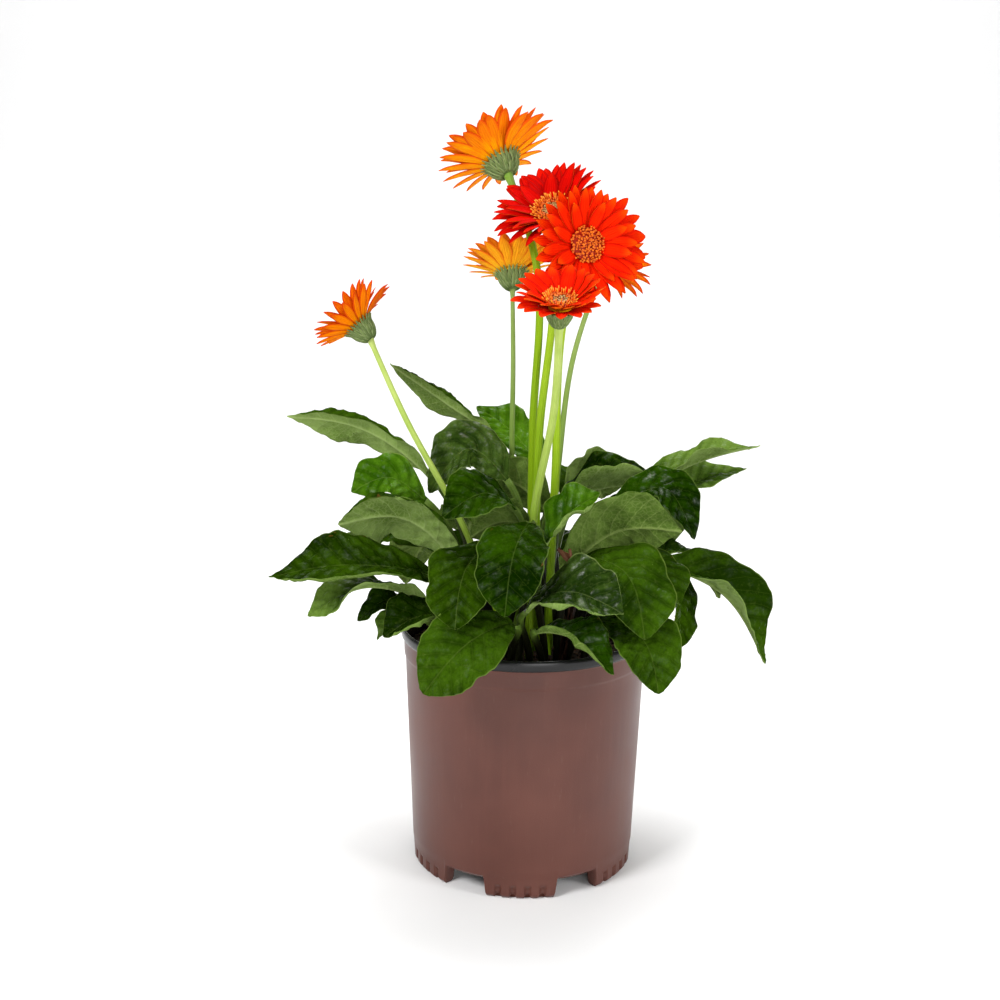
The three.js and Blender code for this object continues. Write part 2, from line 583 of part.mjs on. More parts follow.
// A six-sided stalk through the given points, a little thinner towards its end.
function stalkGeometry(points, thickness) {
  const curve = new StalkCurve(points, 0.6);
  const sides = 6;
  const steps = 2;
  const lastPiece = points.length - 2;
  const xAxis = new THREE.Vector3(1, 0, 0);
  const ring = ({ at, direction }, radius) => {
    const across = xAxis.clone().addScaledVector(direction, -xAxis.dot(direction)).normalize();
    const other = direction.clone().cross(across);
    return Array.from({ length: sides }, (_, j) => {
      const [c, s] = polar(radius, j * (360 / sides));
      return at.clone().addScaledVector(across, c).addScaledVector(other, s);
    });
  };
  const [x, y] = points[0];
  const foot = { at: vec([x, y, SOIL_TOP - ROOT_DEPTH]), direction: new THREE.Vector3(0, 0, 1) };
  const rings = [ring(foot, thickness)];
  for (let i = 0; i <= lastPiece; i++) {
    const count = i === lastPiece ? steps + 1 : steps;
    for (let k = 0; k < count; k++) {
      const share = (i + k / steps) / (lastPiece + 1);
      rings.push(ring(curve.at(i, k / steps), thickness * (SCAPE_FOOT - 0.2 * share)));
    }
  }
  return skinRings(rings);
}

// Heads: centre of the petal plate, where the head looks, its radius, the petals' rise in degrees.
// The stalk goes from the soil through via to the cup, stalk times as thick as the widest.
const HEADS = {
  far_left: { centre: [-107, -2, 352], look: [-0.69, 0.2, 0.69], radius: 32, cup: 25, petals: 11,
    root: [17, 222], via: [[-37, -14, 219], [-79, -9, 298]], stalk: 0.9, colour: 'petalOrange' },
  top: { centre: [-19.5, 44, 454], look: [-0.44, 0.52, 0.73], radius: 42, cup: 13, petals: 14,
    root: [9, 70], via: [[3, 3, 290], [4, -1, 387]], stalk: 1, colour: 'petalOrange' },
  red_left: { centre: [13, -2, 421], look: [-0.3, -0.57, 0.77], radius: 38, cup: 10, petals: 13,
    root: [10, 318], via: [[7, -9, 290], [14, -5, 360]], stalk: 1, colour: 'petalRed' },
  red_front: { centre: [30.5, -42.5, 404], look: [0.37, -0.91, 0.17], radius: 39, cup: 12, petals: 14,
    root: [22, 310], via: [[17, -20, 265], [19, -22, 350]], stalk: 1, colour: 'petalRed' },
  small_back: { centre: [-12, 34, 384], look: [-0.1, 0.47, 0.88], radius: 34, cup: 18, petals: 11,
    root: [17, 108], via: [[-10, 26, 260], [-10, 28, 330]], stalk: 0.75, colour: 'petalOrange' },
  low_front: { centre: [15, -91, 371], look: [0.03, -0.38, 0.92], radius: 30, cup: 14, petals: 11,
    root: [25, 275], via: [[4, -30, 240], [14, -50, 305]], stalk: 1, colour: 'petalRed' },
  right_back: { centre: [47, 10, 390], look: [0.35, 0.6, 0.6], radius: 31, cup: 16, petals: 11,
    root: [16, 352], via: [[20, -1, 270], [28, 0, 335]], stalk: 0.8, colour: 'petalOrange' },
};

// The turn from facing straight up to looking in the given direction.
function turnTo(look) {
  return new THREE.Quaternion().setFromUnitVectors(new THREE.Vector3(0, 0, 1), vec(look).normalize());
}

// A bare stalk that ends inside its green cup.
function scapeGeometry(head) {
  const aim = vec(head.look).normalize();
  const end = vec(head.centre).addScaledVector(aim, -CUP_DEPTH + 3);
  const [x, y] = polar(head.root[0], head.root[1]);
  const points = [[x, y, SOIL_TOP + 1], ...head.via, end.toArray()];
  const cup = cupGeometry(head).applyQuaternion(turnTo(head.look)).translate(...head.centre);
  return toGeometry(joined([stalkGeometry(points, SCAPE_RADIUS * head.stalk), cup]));
}

// ---------------------------------------------------------------- soil

// The inside radius of the pot's wall at height z, measured at the middle of its flat facets.
function innerRadius(z) {
  const low = FOOT_HEIGHT + 5;
  const high = POT_HEIGHT - LIP_HEIGHT - 1;
  const top = WALL_TOP_RADIUS - WALL_THICKNESS;
  const radius = THREE.MathUtils.lerp(INNER_FOOT_RADIUS, top, (z - low) / (high - low));
  return radius * Math.cos(Math.PI / POT_SEGMENTS);
}

// Soil fills the pot, with an uneven top and one plain square hole for each stalk.
// A hole is given as [distance from the axis, angle in degrees, half its diagonal].
function soilGeometry(holes) {
  const columns = 24;
  const side = (z) => [innerRadius(z) - FIT_GAP, z];
  const profile = [
    [FLOOR_RADIUS - 1.2, FOOT_HEIGHT + WALL_THICKNESS + FIT_GAP],
    side(FOOT_HEIGHT + 5.5),
    side(SOIL_TOP - 1),
    [66, SOIL_TOP],
    [52, SOIL_TOP],
    [36, SOIL_TOP],
  ];
  const firstTopRow = 3;
  const rings = profile.map(([radius, z], row) => Array.from({ length: columns }, (_, j) => {
    const onTop = row >= firstTopRow;
    const bump = onTop ? SOIL_ROUGHNESS * variation(11 * j + 5 * row * row) : 0;
    const [x, y] = polar(radius, (j + (onTop ? 0.5 * row : 0)) * (360 / columns));
    return new THREE.Vector3(x, y, z + bump);
  }));
  let soil = toSolid(skinRings(rings));
  for (const [distance, angle, radius] of holes) {
    const [x, y] = polar(distance, angle);
    const drill = new THREE.CylinderGeometry(radius, radius, 2 * ROOT_DEPTH + 1, 4);
    drill.rotateX(Math.PI / 2).rotateZ(rad(angle + 45)).translate(x, y, SOIL_TOP + 0.2);
    soil = soil.subtract(toSolid(drill));
  }
  return toGeometry(soil);
}

// ---------------------------------------------------------------- assembly

const plant = new THREE.Group();

function place(name, geometry, look) {
  const mesh = new THREE.Mesh(geometry, look);
  mesh.name = name;
  plant.add(mesh);
  return mesh;
}

const petioleMiddle = (PETIOLE_DEPTH + LEAF_EDGE) / 2;
const petioleHole = ({ root }) => [root[0] + petioleMiddle, root[1], PETIOLE_HALF_WIDTH * 1.7];
const scapeHole = ({ root, stalk }) => [root[0], root[1], SCAPE_RADIUS * stalk * 1.7];
const holes = [
  ...Object.values(LEAVES).map(petioleHole),
  ...Object.values(LEAF_PAIRS).flat().map(petioleHole),
  ...Object.values(HEADS).map(scapeHole),
];

place('pot', potGeometry(), material.pot);
place('soil', soilGeometry(holes), material.soil);

Object.entries(HEADS).forEach(([name, head], index) => {
  head.seed = index;
  place(`scape_${name}`, scapeGeometry(head), material.scape);
  const rays = place(`rays_${name}`, raysGeometry(head), material[head.colour]);
  const disc = place(`disc_${name}`, discGeometry(head), material.disc);
  for (const mesh of [rays, disc]) {
    mesh.position.set(...head.centre);
    mesh.quaternion.copy(turnTo(head.look));
  }
});

for (const [name, leaf] of Object.entries(LEAVES)) {
  const undersideShows = leaf.face[1] > 0.5;
  place(name, leafGeometry(leaf), undersideShows ? material.leafFelt : material.leafGloss);
}
for (const [name, pair] of Object.entries(LEAF_PAIRS)) {
  place(name, toGeometry(joined(pair.map(leafGeometry))), material.leafGloss);
}

export default plant;
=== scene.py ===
import math
from types import SimpleNamespace

import bpy
from mathutils import Matrix, Vector, noise


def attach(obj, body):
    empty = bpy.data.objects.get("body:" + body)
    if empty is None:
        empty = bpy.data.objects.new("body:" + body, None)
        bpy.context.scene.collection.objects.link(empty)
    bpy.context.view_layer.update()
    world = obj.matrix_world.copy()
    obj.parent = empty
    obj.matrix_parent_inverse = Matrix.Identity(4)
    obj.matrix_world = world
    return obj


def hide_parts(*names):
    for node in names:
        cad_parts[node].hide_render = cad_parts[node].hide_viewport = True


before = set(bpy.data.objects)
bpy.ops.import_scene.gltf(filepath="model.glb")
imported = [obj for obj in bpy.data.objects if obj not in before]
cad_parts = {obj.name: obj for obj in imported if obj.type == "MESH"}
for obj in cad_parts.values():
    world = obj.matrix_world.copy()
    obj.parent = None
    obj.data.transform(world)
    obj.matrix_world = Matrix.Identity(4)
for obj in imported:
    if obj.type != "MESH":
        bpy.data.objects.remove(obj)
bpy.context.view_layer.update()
MM = 0.001

# ------------------------------------------------------------------ helpers

UP = Vector((0, 0, 1))
GOLDEN_ANGLE = 137.508   # degrees from one to the next of many that fill a disc


def polar(radius, degrees):
    a = math.radians(degrees)
    return radius * math.cos(a), radius * math.sin(a)


def variation(k):
    """A steady spread of small differences between repeats, from -0.5 to 0.5."""
    return (k * 0.618034) % 1 - 0.5


def about(middle, spread, k):
    """middle, give or take half of spread."""
    return middle + spread * variation(k)


def scatter(k):
    """Like variation, but with no order in it: from -0.5 to 0.5."""
    return noise.cell(Vector((k * 1.37 + 0.5, 7.5, 3.5))) * 0.5


def mix(a, b, t):
    return a + (b - a) * t


def smooth(edge0, edge1, x):
    t = min(max((x - edge0) / (edge1 - edge0), 0.0), 1.0)
    return t * t * (3 - 2 * t)


def bent_path(p0, p1, p2, s):
    """The place at share s of a path from p0 to p2, pulled towards p1, and the way it runs."""
    place = p0 * (1 - s) ** 2 + p1 * (2 * s * (1 - s)) + p2 * s * s
    return place, ((p1 - p0) * (1 - s) + (p2 - p1) * s).normalized()


def add_object(name, points, faces, materials):
    """A smooth mesh in the scene, in metres."""
    mesh = bpy.data.meshes.new(name)
    mesh.from_pydata(points, [], faces)
    mesh.polygons.foreach_set("use_smooth", [True] * len(faces))
    for look in materials:
        mesh.materials.append(look)
    obj = bpy.data.objects.new(name, mesh)
    bpy.context.collection.objects.link(obj)
    return obj


class Builder:
    """Collects points and faces in mm, with a material number for each face and three numbers
    for each point, which the materials read as the attribute "sheet"."""

    def __init__(self):
        self.points, self.sheet, self.faces, self.marks = [], [], [], []

    def point(self, p, sheet=(0.0, 0.0, 0.0)):
        self.points.append((p[0] * MM, p[1] * MM, p[2] * MM))
        self.sheet.append(tuple(sheet))
        return len(self.points) - 1

    def ring(self, radius, angles, z):
        """Points around the z axis."""
        return [self.point((*polar(radius, a), z)) for a in angles]

    def face(self, corners, mark=0):
        self.faces.append(corners)
        self.marks.append(mark)

    def grid(self, rows, mark=0, closed=False):
        """Faces between rows of point numbers; closed joins each row's end to its start."""
        for a, b in zip(rows, rows[1:]):
            count = len(a)
            for j in range(count if closed else count - 1):
                k = (j + 1) % count
                self.face((a[j], a[k], b[k], b[j]), mark)

    def body(self, rings, mark=0):
        """A closed body of rings, with a face over each end."""
        self.grid(rings, mark, closed=True)
        self.face(tuple(reversed(rings[0])), mark)
        self.face(tuple(rings[-1]), mark)

    def make(self, name, node, slot, materials):
        obj = add_object(name, self.points, self.faces, materials)
        obj.data.polygons.foreach_set("material_index", self.marks)
        layer = obj.data.attributes.new("sheet", "FLOAT_VECTOR", "POINT")
        layer.data.foreach_set("vector", [x for s in self.sheet for x in s])
        obj.data.validate()
        obj.data.update()
        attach(obj, "root")
        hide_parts(node)


class StalkCurve:
    """A smooth curve through points whose first slope is turned upright by rise."""

    def __init__(self, points, rise):
        self.points = [Vector(p) for p in points]
        self.knots = [0.0]
        for a, b in zip(self.points, self.points[1:]):
            self.knots.append(self.knots[-1] + (b - a).length)
        last = len(points) - 1

        def chord(i):
            return (self.points[i + 1] - self.points[i]) / (self.knots[i + 1] - self.knots[i])

        first = chord(0)
        first = Vector((first.x * (1 - rise), first.y * (1 - rise), first.z)).normalized()
        self.slopes = [first]
        for i in range(1, last):
            before = self.knots[i] - self.knots[i - 1]
            after = self.knots[i + 1] - self.knots[i]
            self.slopes.append(chord(i - 1).lerp(chord(i), before / (before + after)))
        self.slopes.append(chord(last - 1) * 1.5 - self.slopes[last - 1] * 0.5)

    def at(self, i, s):
        """The place at share s of stretch i, and the way the curve runs there."""
        h = self.knots[i + 1] - self.knots[i]
        p, q = self.points[i], self.points[i + 1]
        m, n = self.slopes[i], self.slopes[i + 1]
        s2, s3 = s * s, s * s * s
        place = p * (2 * s3 - 3 * s2 + 1) + m * (h * (s3 - 2 * s2 + s))
        place += q * (3 * s2 - 2 * s3) + n * (h * (s3 - s2))
        way = p * ((6 * s2 - 6 * s) / h) + m * (3 * s2 - 4 * s + 1)
        way += q * ((6 * s - 6 * s2) / h) + n * (3 * s2 - 2 * s)
        return place, way.normalized()


# ------------------------------------------------------------------ materials

VEIN_SLANT = 0.72        # how far a side vein runs towards the tip for each step out
VEIN_BEND = 0.06         # and how much further it bends there
NET = 3.4                # meshes of the fine vein net in a vein spacing
DRIED = (96, 66, 30)
SCUFFED = (176, 158, 142)


def srgb(r, g, b):
    """A colour given as 0 to 255 on a screen, as light."""
    return tuple(((c / 255 + 0.055) / 1.055) ** 2.4 if c > 10 else c / 3295 for c in (r, g, b))


class Looks:
    """A material in the making: short ways to add and join nodes, and the colour mixed so far.
    Colours are given as 0 to 255 on a screen."""

    def __init__(self, name, colour=None, roughness=0.5, specular=0.5):
        self.colour = colour
        self.material = bpy.data.materials.new(name)
        self.material.use_nodes = True
        self.tree = self.material.node_tree
        self.inputs = self.tree.nodes["Principled BSDF"].inputs
        self.inputs["Roughness"].default_value = roughness
        self.inputs["Specular IOR Level"].default_value = specular

    def node(self, kind, **settings):
        """A new node, with its own settings and its inputs' values, whose names have capitals."""
        made = self.tree.nodes.new(kind)
        for key, value in settings.items():
            if key[0].isupper():
                made.inputs[key.replace("_", " ")].default_value = value
            else:
                setattr(made, key, value)
        return made

    def join(self, start, end):
        self.tree.links.new(start, end)

    def sheet(self):
        """The point's own three numbers, together and apart."""
        made = self.node("ShaderNodeAttribute", attribute_name="sheet")
        split = self.node("ShaderNodeSeparateXYZ")
        self.join(made.outputs["Vector"], split.inputs[0])
        return made.outputs["Vector"], split.outputs

    def place(self):
        """The point's place on the object, in metres."""
        return self.node("ShaderNodeTexCoord").outputs["Object"]

    def noise(self, scale, detail=3.0, rough=0.55, where=None):
        made = self.node("ShaderNodeTexNoise", Scale=scale, Detail=detail, Roughness=rough)
        self.join(self.place() if where is None else where, made.inputs["Vector"])
        return made.outputs["Fac"]

    def cells(self, where, scale, feature="DISTANCE_TO_EDGE"):
        made = self.node("ShaderNodeTexVoronoi", feature=feature, Scale=scale)
        self.join(where, made.inputs["Vector"])
        return made.outputs["Distance"]

    def maths(self, operation, *values):
        made = self.node("ShaderNodeMath", operation=operation)
        for socket, value in zip(made.inputs, values):
            if isinstance(value, (int, float)):
                socket.default_value = value
            else:
                self.join(value, socket)
        return made.outputs[0]

    def plus(self, a, b):
        return self.maths("ADD", a, b)

    def times(self, a, b):
        return self.maths("MULTIPLY", a, b)

    def away(self, a):
        """How far a value is from nothing, whatever its sign."""
        return self.maths("ABSOLUTE", a)

    def ramp(self, value, low, high, start=0.0, end=1.0):
        """value from low to high turned into start to end, held beyond."""
        made = self.node("ShaderNodeMapRange", interpolation_type="SMOOTHSTEP", From_Min=low,
                         From_Max=high, To_Min=start, To_Max=end)
        self.join(value, made.inputs["Value"])
        return made.outputs["Result"]

    def lay(self, colour, share):
        """Lays a colour over the colour so far, by a share from 0 to 1."""
        made = self.node("ShaderNodeMix", data_type="RGBA")
        self.join(share, made.inputs["Factor"])
        for socket, value in ((made.inputs[6], self.colour), (made.inputs[7], colour)):
            if isinstance(value, tuple):
                socket.default_value = (*srgb(*value), 1.0)
            else:
                self.join(value, socket)
        self.colour = made.outputs[2]

    def tint(self, colour, value, low, high, start=0.0, end=1.0):
        """Lays a colour over the colour so far, by a ramp of value."""
        self.lay(colour, self.ramp(value, low, high, start, end))

    def finish(self, height, distance, strength=0.5):
        """Joins the colour and the bump of this height to the shader."""
        made = self.node("ShaderNodeBump", Strength=strength, Distance=distance)
        self.join(height, made.inputs["Height"])
        self.join(made.outputs[0], self.inputs["Normal"])
        self.join(self.colour, self.inputs["Base Color"])
        return self.material


def add_vein_pattern(look, across, along):
    """Nearness to a side vein and to the midrib, from distances given in vein spacings. Veins
    leave the midrib by turns to the left and the right and bend towards the tip."""
    out = look.away(across)
    lean = look.times(look.times(out, out), VEIN_BEND)
    lean = look.plus(lean, look.times(out, VEIN_SLANT))
    turns = look.times(look.maths("GREATER_THAN", across, 0.0), 0.5)
    place = look.plus(look.maths("SUBTRACT", along, lean), turns)
    wobble = look.times(look.noise(130.0, 2.0), 0.16)
    share = look.maths("FRACT", look.plus(place, look.maths("SUBTRACT", wobble, 0.08)))
    side = look.maths("MINIMUM", share, look.maths("SUBTRACT", 1.0, share))
    return side, out


def leaf_top_look(name, deep, lit, vein, shine):
    """Puckered between sunken veins, with a gloss that sits on the crests in patches. Shade and
    light are painted in: darker in the sunken vein net and the wrinkle hollows, paler on the
    wrinkle tops and a little lighter on the crests. The sheet holds the distances from the
    midrib and along it in vein spacings, and the share of the way out to the margin."""
    look = Looks(name, deep, roughness=0.3)
    where, (across, along, out) = look.sheet()
    side, rib = add_vein_pattern(look, across, along)
    net = look.cells(where, NET)
    crest = look.ramp(side, 0.03, 0.36)
    # painted light: the crests come out a little lighter than the hollows
    tone = look.plus(look.noise(24.0, 2.0), look.times(crest, 0.09))
    tone = look.plus(tone, look.times(look.noise(160.0), 0.22))
    wrinkles_and_painted_shade = look.noise(330.0, 5.0, 0.65)
    look.tint(lit, tone, 0.5, 0.84)
    # painted shade: darker along the sunken lines of the vein net
    look.tint(deep, net, 0.0, 0.09, 0.22, 0.0)
    # painted shade in the wrinkle hollows and painted highlight on the wrinkle tops
    look.tint(deep, wrinkles_and_painted_shade, 0.3, 0.48, 0.4, 0.0)
    look.tint(vein, wrinkles_and_painted_shade, 0.5, 0.75, 0.0, 0.14)
    look.tint(vein, side, 0.0, 0.03, 0.11, 0.0)
    look.tint(vein, rib, 0.02, 0.06, 0.17, 0.0)
    look.tint(vein, out, 0.96, 0.99, 0.0, 0.6)
    margin = look.ramp(out, 0.8, 0.96, 0.0, 0.7)
    look.lay(DRIED, look.times(look.ramp(look.noise(170.5), 0.66, 0.74), margin))
    patch = look.ramp(look.noise(124.1, 4.0), 0.46, 0.66)
    streaked = look.ramp(look.noise(361.0), 0.36, 0.6, 0.25, 1.0)
    gloss = look.times(look.times(look.times(crest, patch), shine), streaked)
    look.join(gloss, look.inputs["Specular IOR Level"])
    height = look.plus(look.ramp(net, 0.0, 0.4, 0.0, 0.5), crest)
    return look.finish(look.plus(height, look.times(wrinkles_and_painted_shade, 1.5)), 0.0006, 0.6)


def leaf_underside_look(name, deep, lit, vein):
    """Matt and felted, with raised paler veins; the sheet is the same as on the top."""
    look = Looks(name, deep, roughness=0.9, specular=0.08)
    where, numbers = look.sheet()
    side, rib = add_vein_pattern(look, *numbers[:2])
    felt = look.noise(700.0, 4.0, 0.7)
    net = look.cells(where, NET)
    look.tint(lit, look.noise(30.0), 0.34, 0.68)
    look.tint(lit, felt, 0.4, 0.75, 0.0, 0.4)
    look.tint(vein, net, 0.0, 0.12, 0.22, 0.0)
    look.tint(vein, side, 0.0, 0.07, 0.26, 0.0)
    look.tint(vein, rib, 0.04, 0.17, 0.5, 0.0)
    height = look.plus(look.ramp(net, 0.0, 0.3, 0.5, 0.0), look.ramp(side, 0.0, 0.12, 1.0, 0.0))
    return look.finish(look.plus(height, look.times(felt, 0.6)), 0.0003)


def petal_look(name, root, body, tip, edge):
    """Satin. The sheet holds the share across (-1 to 1), the share along and a draw for each."""
    look = Looks(name, root, roughness=0.6, specular=0.02)
    across, along, draw = look.sheet()[1]
    lines = look.maths("SINE", look.times(across, 19.0))
    # root to tip: on the red faces partly painted shade at the root and painted light at the tip
    look.tint(body, along, 0.0, 0.42)
    look.tint(tip, along, 0.7, 1.0, 0.0, 0.9)
    look.tint(edge, look.away(across), 0.5, 0.98, 0.0, 0.85)
    look.tint(edge, lines, 0.1, 1.0, 0.0, 0.3)
    look.tint(edge, look.plus(look.noise(110.0), draw), 0.75, 1.5, 0.0, 0.5)
    return look.finish(look.plus(lines, look.noise(500.0, 2.0)), 0.0002)


def stalk_look(name, foot, top, grown=0.0):
    """A stalk: fine ribs along it and soft patches. Its foot's colour holds up to share grown."""
    look = Looks(name, foot, specular=0.16)
    around, along = look.sheet()[1][:2]
    ribs = look.maths("SINE", look.times(around, 9.0))
    risen = look.ramp(along, grown, 1.0)
    look.lay(top, risen)
    look.lay(top, look.times(look.ramp(ribs, -1.0, 1.0, 0.1, 0.4), risen))
    look.tint(foot, look.noise(60.0), 0.4, 0.75, 0.0, 0.4)
    return look.finish(look.plus(ribs, look.noise(1100.0, 2.0)), 0.0002)


def bract_look(name, foot, body, edge, seam, felt):
    """Grey-green, felted, with a paler edge on each bract and darker seams between them."""
    look = Looks(name, foot, roughness=0.85, specular=0.08)
    across, along, draw = look.sheet()[1]
    look.tint(body, along, 0.0, 0.9)
    look.tint(edge, look.away(across), 0.45, 0.9, 0.0, 0.7)
    look.tint(seam, draw, 0.3, 1.0, 0.0, 0.6)
    look.tint(felt, look.noise(260.0), 0.4, 0.7, 0.0, 0.35)
    return look.finish(look.noise(1100.0), 0.0003)


def floret_look(name, foot, tip):
    look = Looks(name, foot, specular=0.2)
    along, draw = look.sheet()[1][1:]
    look.tint(tip, along, 0.3, 0.85)
    look.tint(foot, draw, 0.0, 1.0, 0.0, 0.5)
    return look.finish(look.noise(1800.0, 2.0), 0.0002, 0.6)


def pot_look(name, deep, lit, gloss):
    """Moulded plastic: soft mottling, faint draw lines and light scuffs."""
    look = Looks(name, deep, specular=0.35)
    mottle = look.noise(13.0)
    flow = look.node("ShaderNodeMapping", Scale=(1.0, 1.0, 0.12))
    look.join(look.place(), flow.inputs["Vector"])
    streaks = look.noise(160.0, where=flow.outputs[0])
    look.tint(lit, mottle, 0.3, 0.74)
    look.tint(lit, streaks, 0.4, 0.75, 0.0, 0.3)
    look.tint(SCUFFED, look.noise(420.0, 5.0, 0.7, flow.outputs[0]), 0.62, 0.8, 0.0, 0.1)
    look.join(look.ramp(mottle, 0.3, 0.7, gloss - 0.05, gloss + 0.08), look.inputs["Roughness"])
    return look.finish(look.plus(look.noise(1400.0, 2.0), look.times(streaks, 1.2)), 0.0001)


def soil_look(name, deep, lit, grains):
    look = Looks(name, deep, roughness=0.95, specular=0.15)
    clumps = look.noise(90.0, 4.0)
    grain = look.cells(look.place(), 420.0, "F1")
    look.tint(lit, clumps, 0.35, 0.7)
    look.tint(grains, grain, 0.5, 0.9, 0.0, 0.5)
    return look.finish(look.plus(clumps, grain), 0.001, 0.8)


def family(make, prefix, table):
    """One look for each line of a table, named after its key."""
    return {key: make(prefix + key, *values) for key, values in table.items()}


# Colours in the hollows (also painted shade in the creases), on the crests (partly painted light)
# and along the veins (also a painted highlight on the wrinkle tops), and how much gloss there is
LEAF_TOPS = family(leaf_top_look, "leaf_top_", {
    "dark": ((14, 32, 0), (44, 70, 4), (104, 126, 56), 0.14),
    "deep": ((8, 26, 0), (36, 64, 2), (100, 124, 54), 0.16),
    "glossy": ((8, 26, 0), (34, 64, 2), (100, 124, 54), 0.5),
    "silver": ((22, 40, 6), (66, 90, 32), (124, 144, 80), 0.7),
    "green": ((22, 42, 2), (50, 78, 8), (104, 126, 54), 0.1),
    "bright": ((32, 66, 0), (72, 112, 18), (122, 148, 66), 0.35),
    "light": ((54, 80, 18), (98, 126, 50), (140, 160, 90), 0.12),
})
LEAF_UNDERSIDES = family(leaf_underside_look, "leaf_", {
    "felt": ((60, 82, 24), (92, 116, 48), (130, 148, 82)),
    "felt_pale": ((84, 108, 42), (122, 146, 76), (150, 168, 104)),
})
# Colours at the foot and at the top, and how far up the foot's colour holds
SCAPES = family(stalk_look, "scape_", {
    "light": ((116, 154, 6), (158, 186, 36)),
    "tall": ((124, 158, 6), (110, 144, 62), 0.82),
    "pale": ((120, 156, 16), (176, 194, 104)),
    "grey": ((100, 130, 40), (132, 154, 82)),
})
LEAF_PARTS = family(stalk_look, "leaf_", {
    # the nearly black foot is partly the stalks' own darker base and partly painted shade under the
    # leaves
    "stalk": ((24, 26, 8), (86, 112, 38), 0.45),
    "withered": ((48, 28, 16), (108, 68, 42), 0.5),
    "yellowed": ((170, 92, 14), (226, 168, 34)),
})
# Colours at the foot, in the body, along the edges, in the seams and of the felt
BRACT = bract_look("bract_green", (80, 98, 50), (108, 126, 72), (150, 162, 112), (78, 94, 54),
                   (126, 142, 92))
# Colours at the root, in the body, at the tip and along the edges. On the red faces the darker root
# and the paler tip are partly the petals' own colour and partly painted shade near the disc and
# painted light on the tips
PETALS = family(petal_look, "petal_", {
    "red_face": ((214, 8, 0), (236, 34, 0), (250, 74, 0), (190, 8, 0)),
    "deep_red_face": ((120, 2, 0), (226, 10, 0), (240, 30, 0), (150, 0, 0)),
    "orange_face": ((240, 96, 0), (240, 88, 0), (232, 62, 0), (206, 40, 0)),
    "orange_back": ((255, 182, 0), (252, 162, 2), (240, 116, 8), (216, 66, 14)),
    "deep_orange_back": ((246, 150, 0), (244, 130, 2), (226, 78, 8), (196, 40, 10)),
    # painted light: a lighter copy of the orange back, for a head in the shade of the red heads
    "light_orange_back": ((255, 206, 40), (255, 182, 30), (250, 142, 20), (230, 92, 16)),
})
# Colours at the foot and at the tip
FLORETS = family(floret_look, "floret_", {
    "orange": ((182, 40, 0), (240, 122, 22)),
    "young": ((150, 86, 34), (176, 146, 84)),
    "ray": ((196, 44, 0), (252, 168, 40)),
    "bed": ((160, 30, 0), (170, 50, 6)),
})
# The darker and the lighter colour of the mottling, and the roughness
PLASTICS = family(pot_look, "pot_", {
    "brown": ((80, 43, 34), (92, 52, 42), 0.36),
    "black": ((9, 9, 10), (17, 17, 18), 0.24),
})
SOIL = soil_look("potting_mix", (22, 17, 13), (60, 45, 33), (88, 68, 50))

# ------------------------------------------------------------------ camera, floor and light

CAMERA_PLACE = (-17.4, -911.0, 433.0)
CAMERA_PITCH = 11.9      # degrees below the horizontal
CAMERA_ROLL = 0.68
CAMERA_LENS = 52.2       # mm, on a sensor 36 mm wide

# In metres: the floor reaches to a wall behind the object and bends up into it
FLOOR_HALF = 4.0
BACKDROP_DISTANCE = 2.4
BACKDROP_HEIGHT = 4.0
BACKDROP_BEND = 0.8
BEND_STEPS = 12
FLOOR_PALE = (0.88, 0.88, 0.88, 1)
WORLD_LIGHT = 0.3
# Each light's place, what it faces, its size in metres and its power in watts
LIGHTS = {
    "key": ((-1.0, -1.0, 1.25), (0, 0, 0.25), 0.55, 24),
    "fill": ((1.4, -0.9, 0.9), (0, 0, 0.25), 0.6, 13),
    "front": ((0.35, -1.6, 0.3), (0, 0, 0.35), 0.8, 10),
    "top": ((0.2, 0.3, 1.7), (0, 0, 0.3), 0.7, 12),
    "backdrop": ((0.0, 1.2, 2.6), (0, 2.2, 0.4), 1.5, 42),
}


def add_camera():
    data = bpy.data.cameras.new("camera")
    data.lens = CAMERA_LENS
    data.sensor_width = 36.0
    data.sensor_fit = "HORIZONTAL"
    camera = bpy.data.objects.new("camera", data)
    turn = Matrix.Rotation(math.radians(90 - CAMERA_PITCH), 4, "X")
    roll = Matrix.Rotation(math.radians(CAMERA_ROLL), 4, "Z")
    camera.matrix_world = Matrix.Translation(Vector(CAMERA_PLACE) * MM) @ turn @ roll
    bpy.context.collection.objects.link(camera)
    bpy.context.scene.camera = camera


def add_area_light(name, place, target, size, power):
    data = bpy.data.lights.new(name, "AREA")
    data.shape = "SQUARE"
    data.size = size
    data.energy = power
    lamp = bpy.data.objects.new(name, data)
    lamp.location = place
    aim = Vector(target) - Vector(place)
    lamp.rotation_euler = aim.to_track_quat("-Z", "Y").to_euler()
    bpy.context.collection.objects.link(lamp)


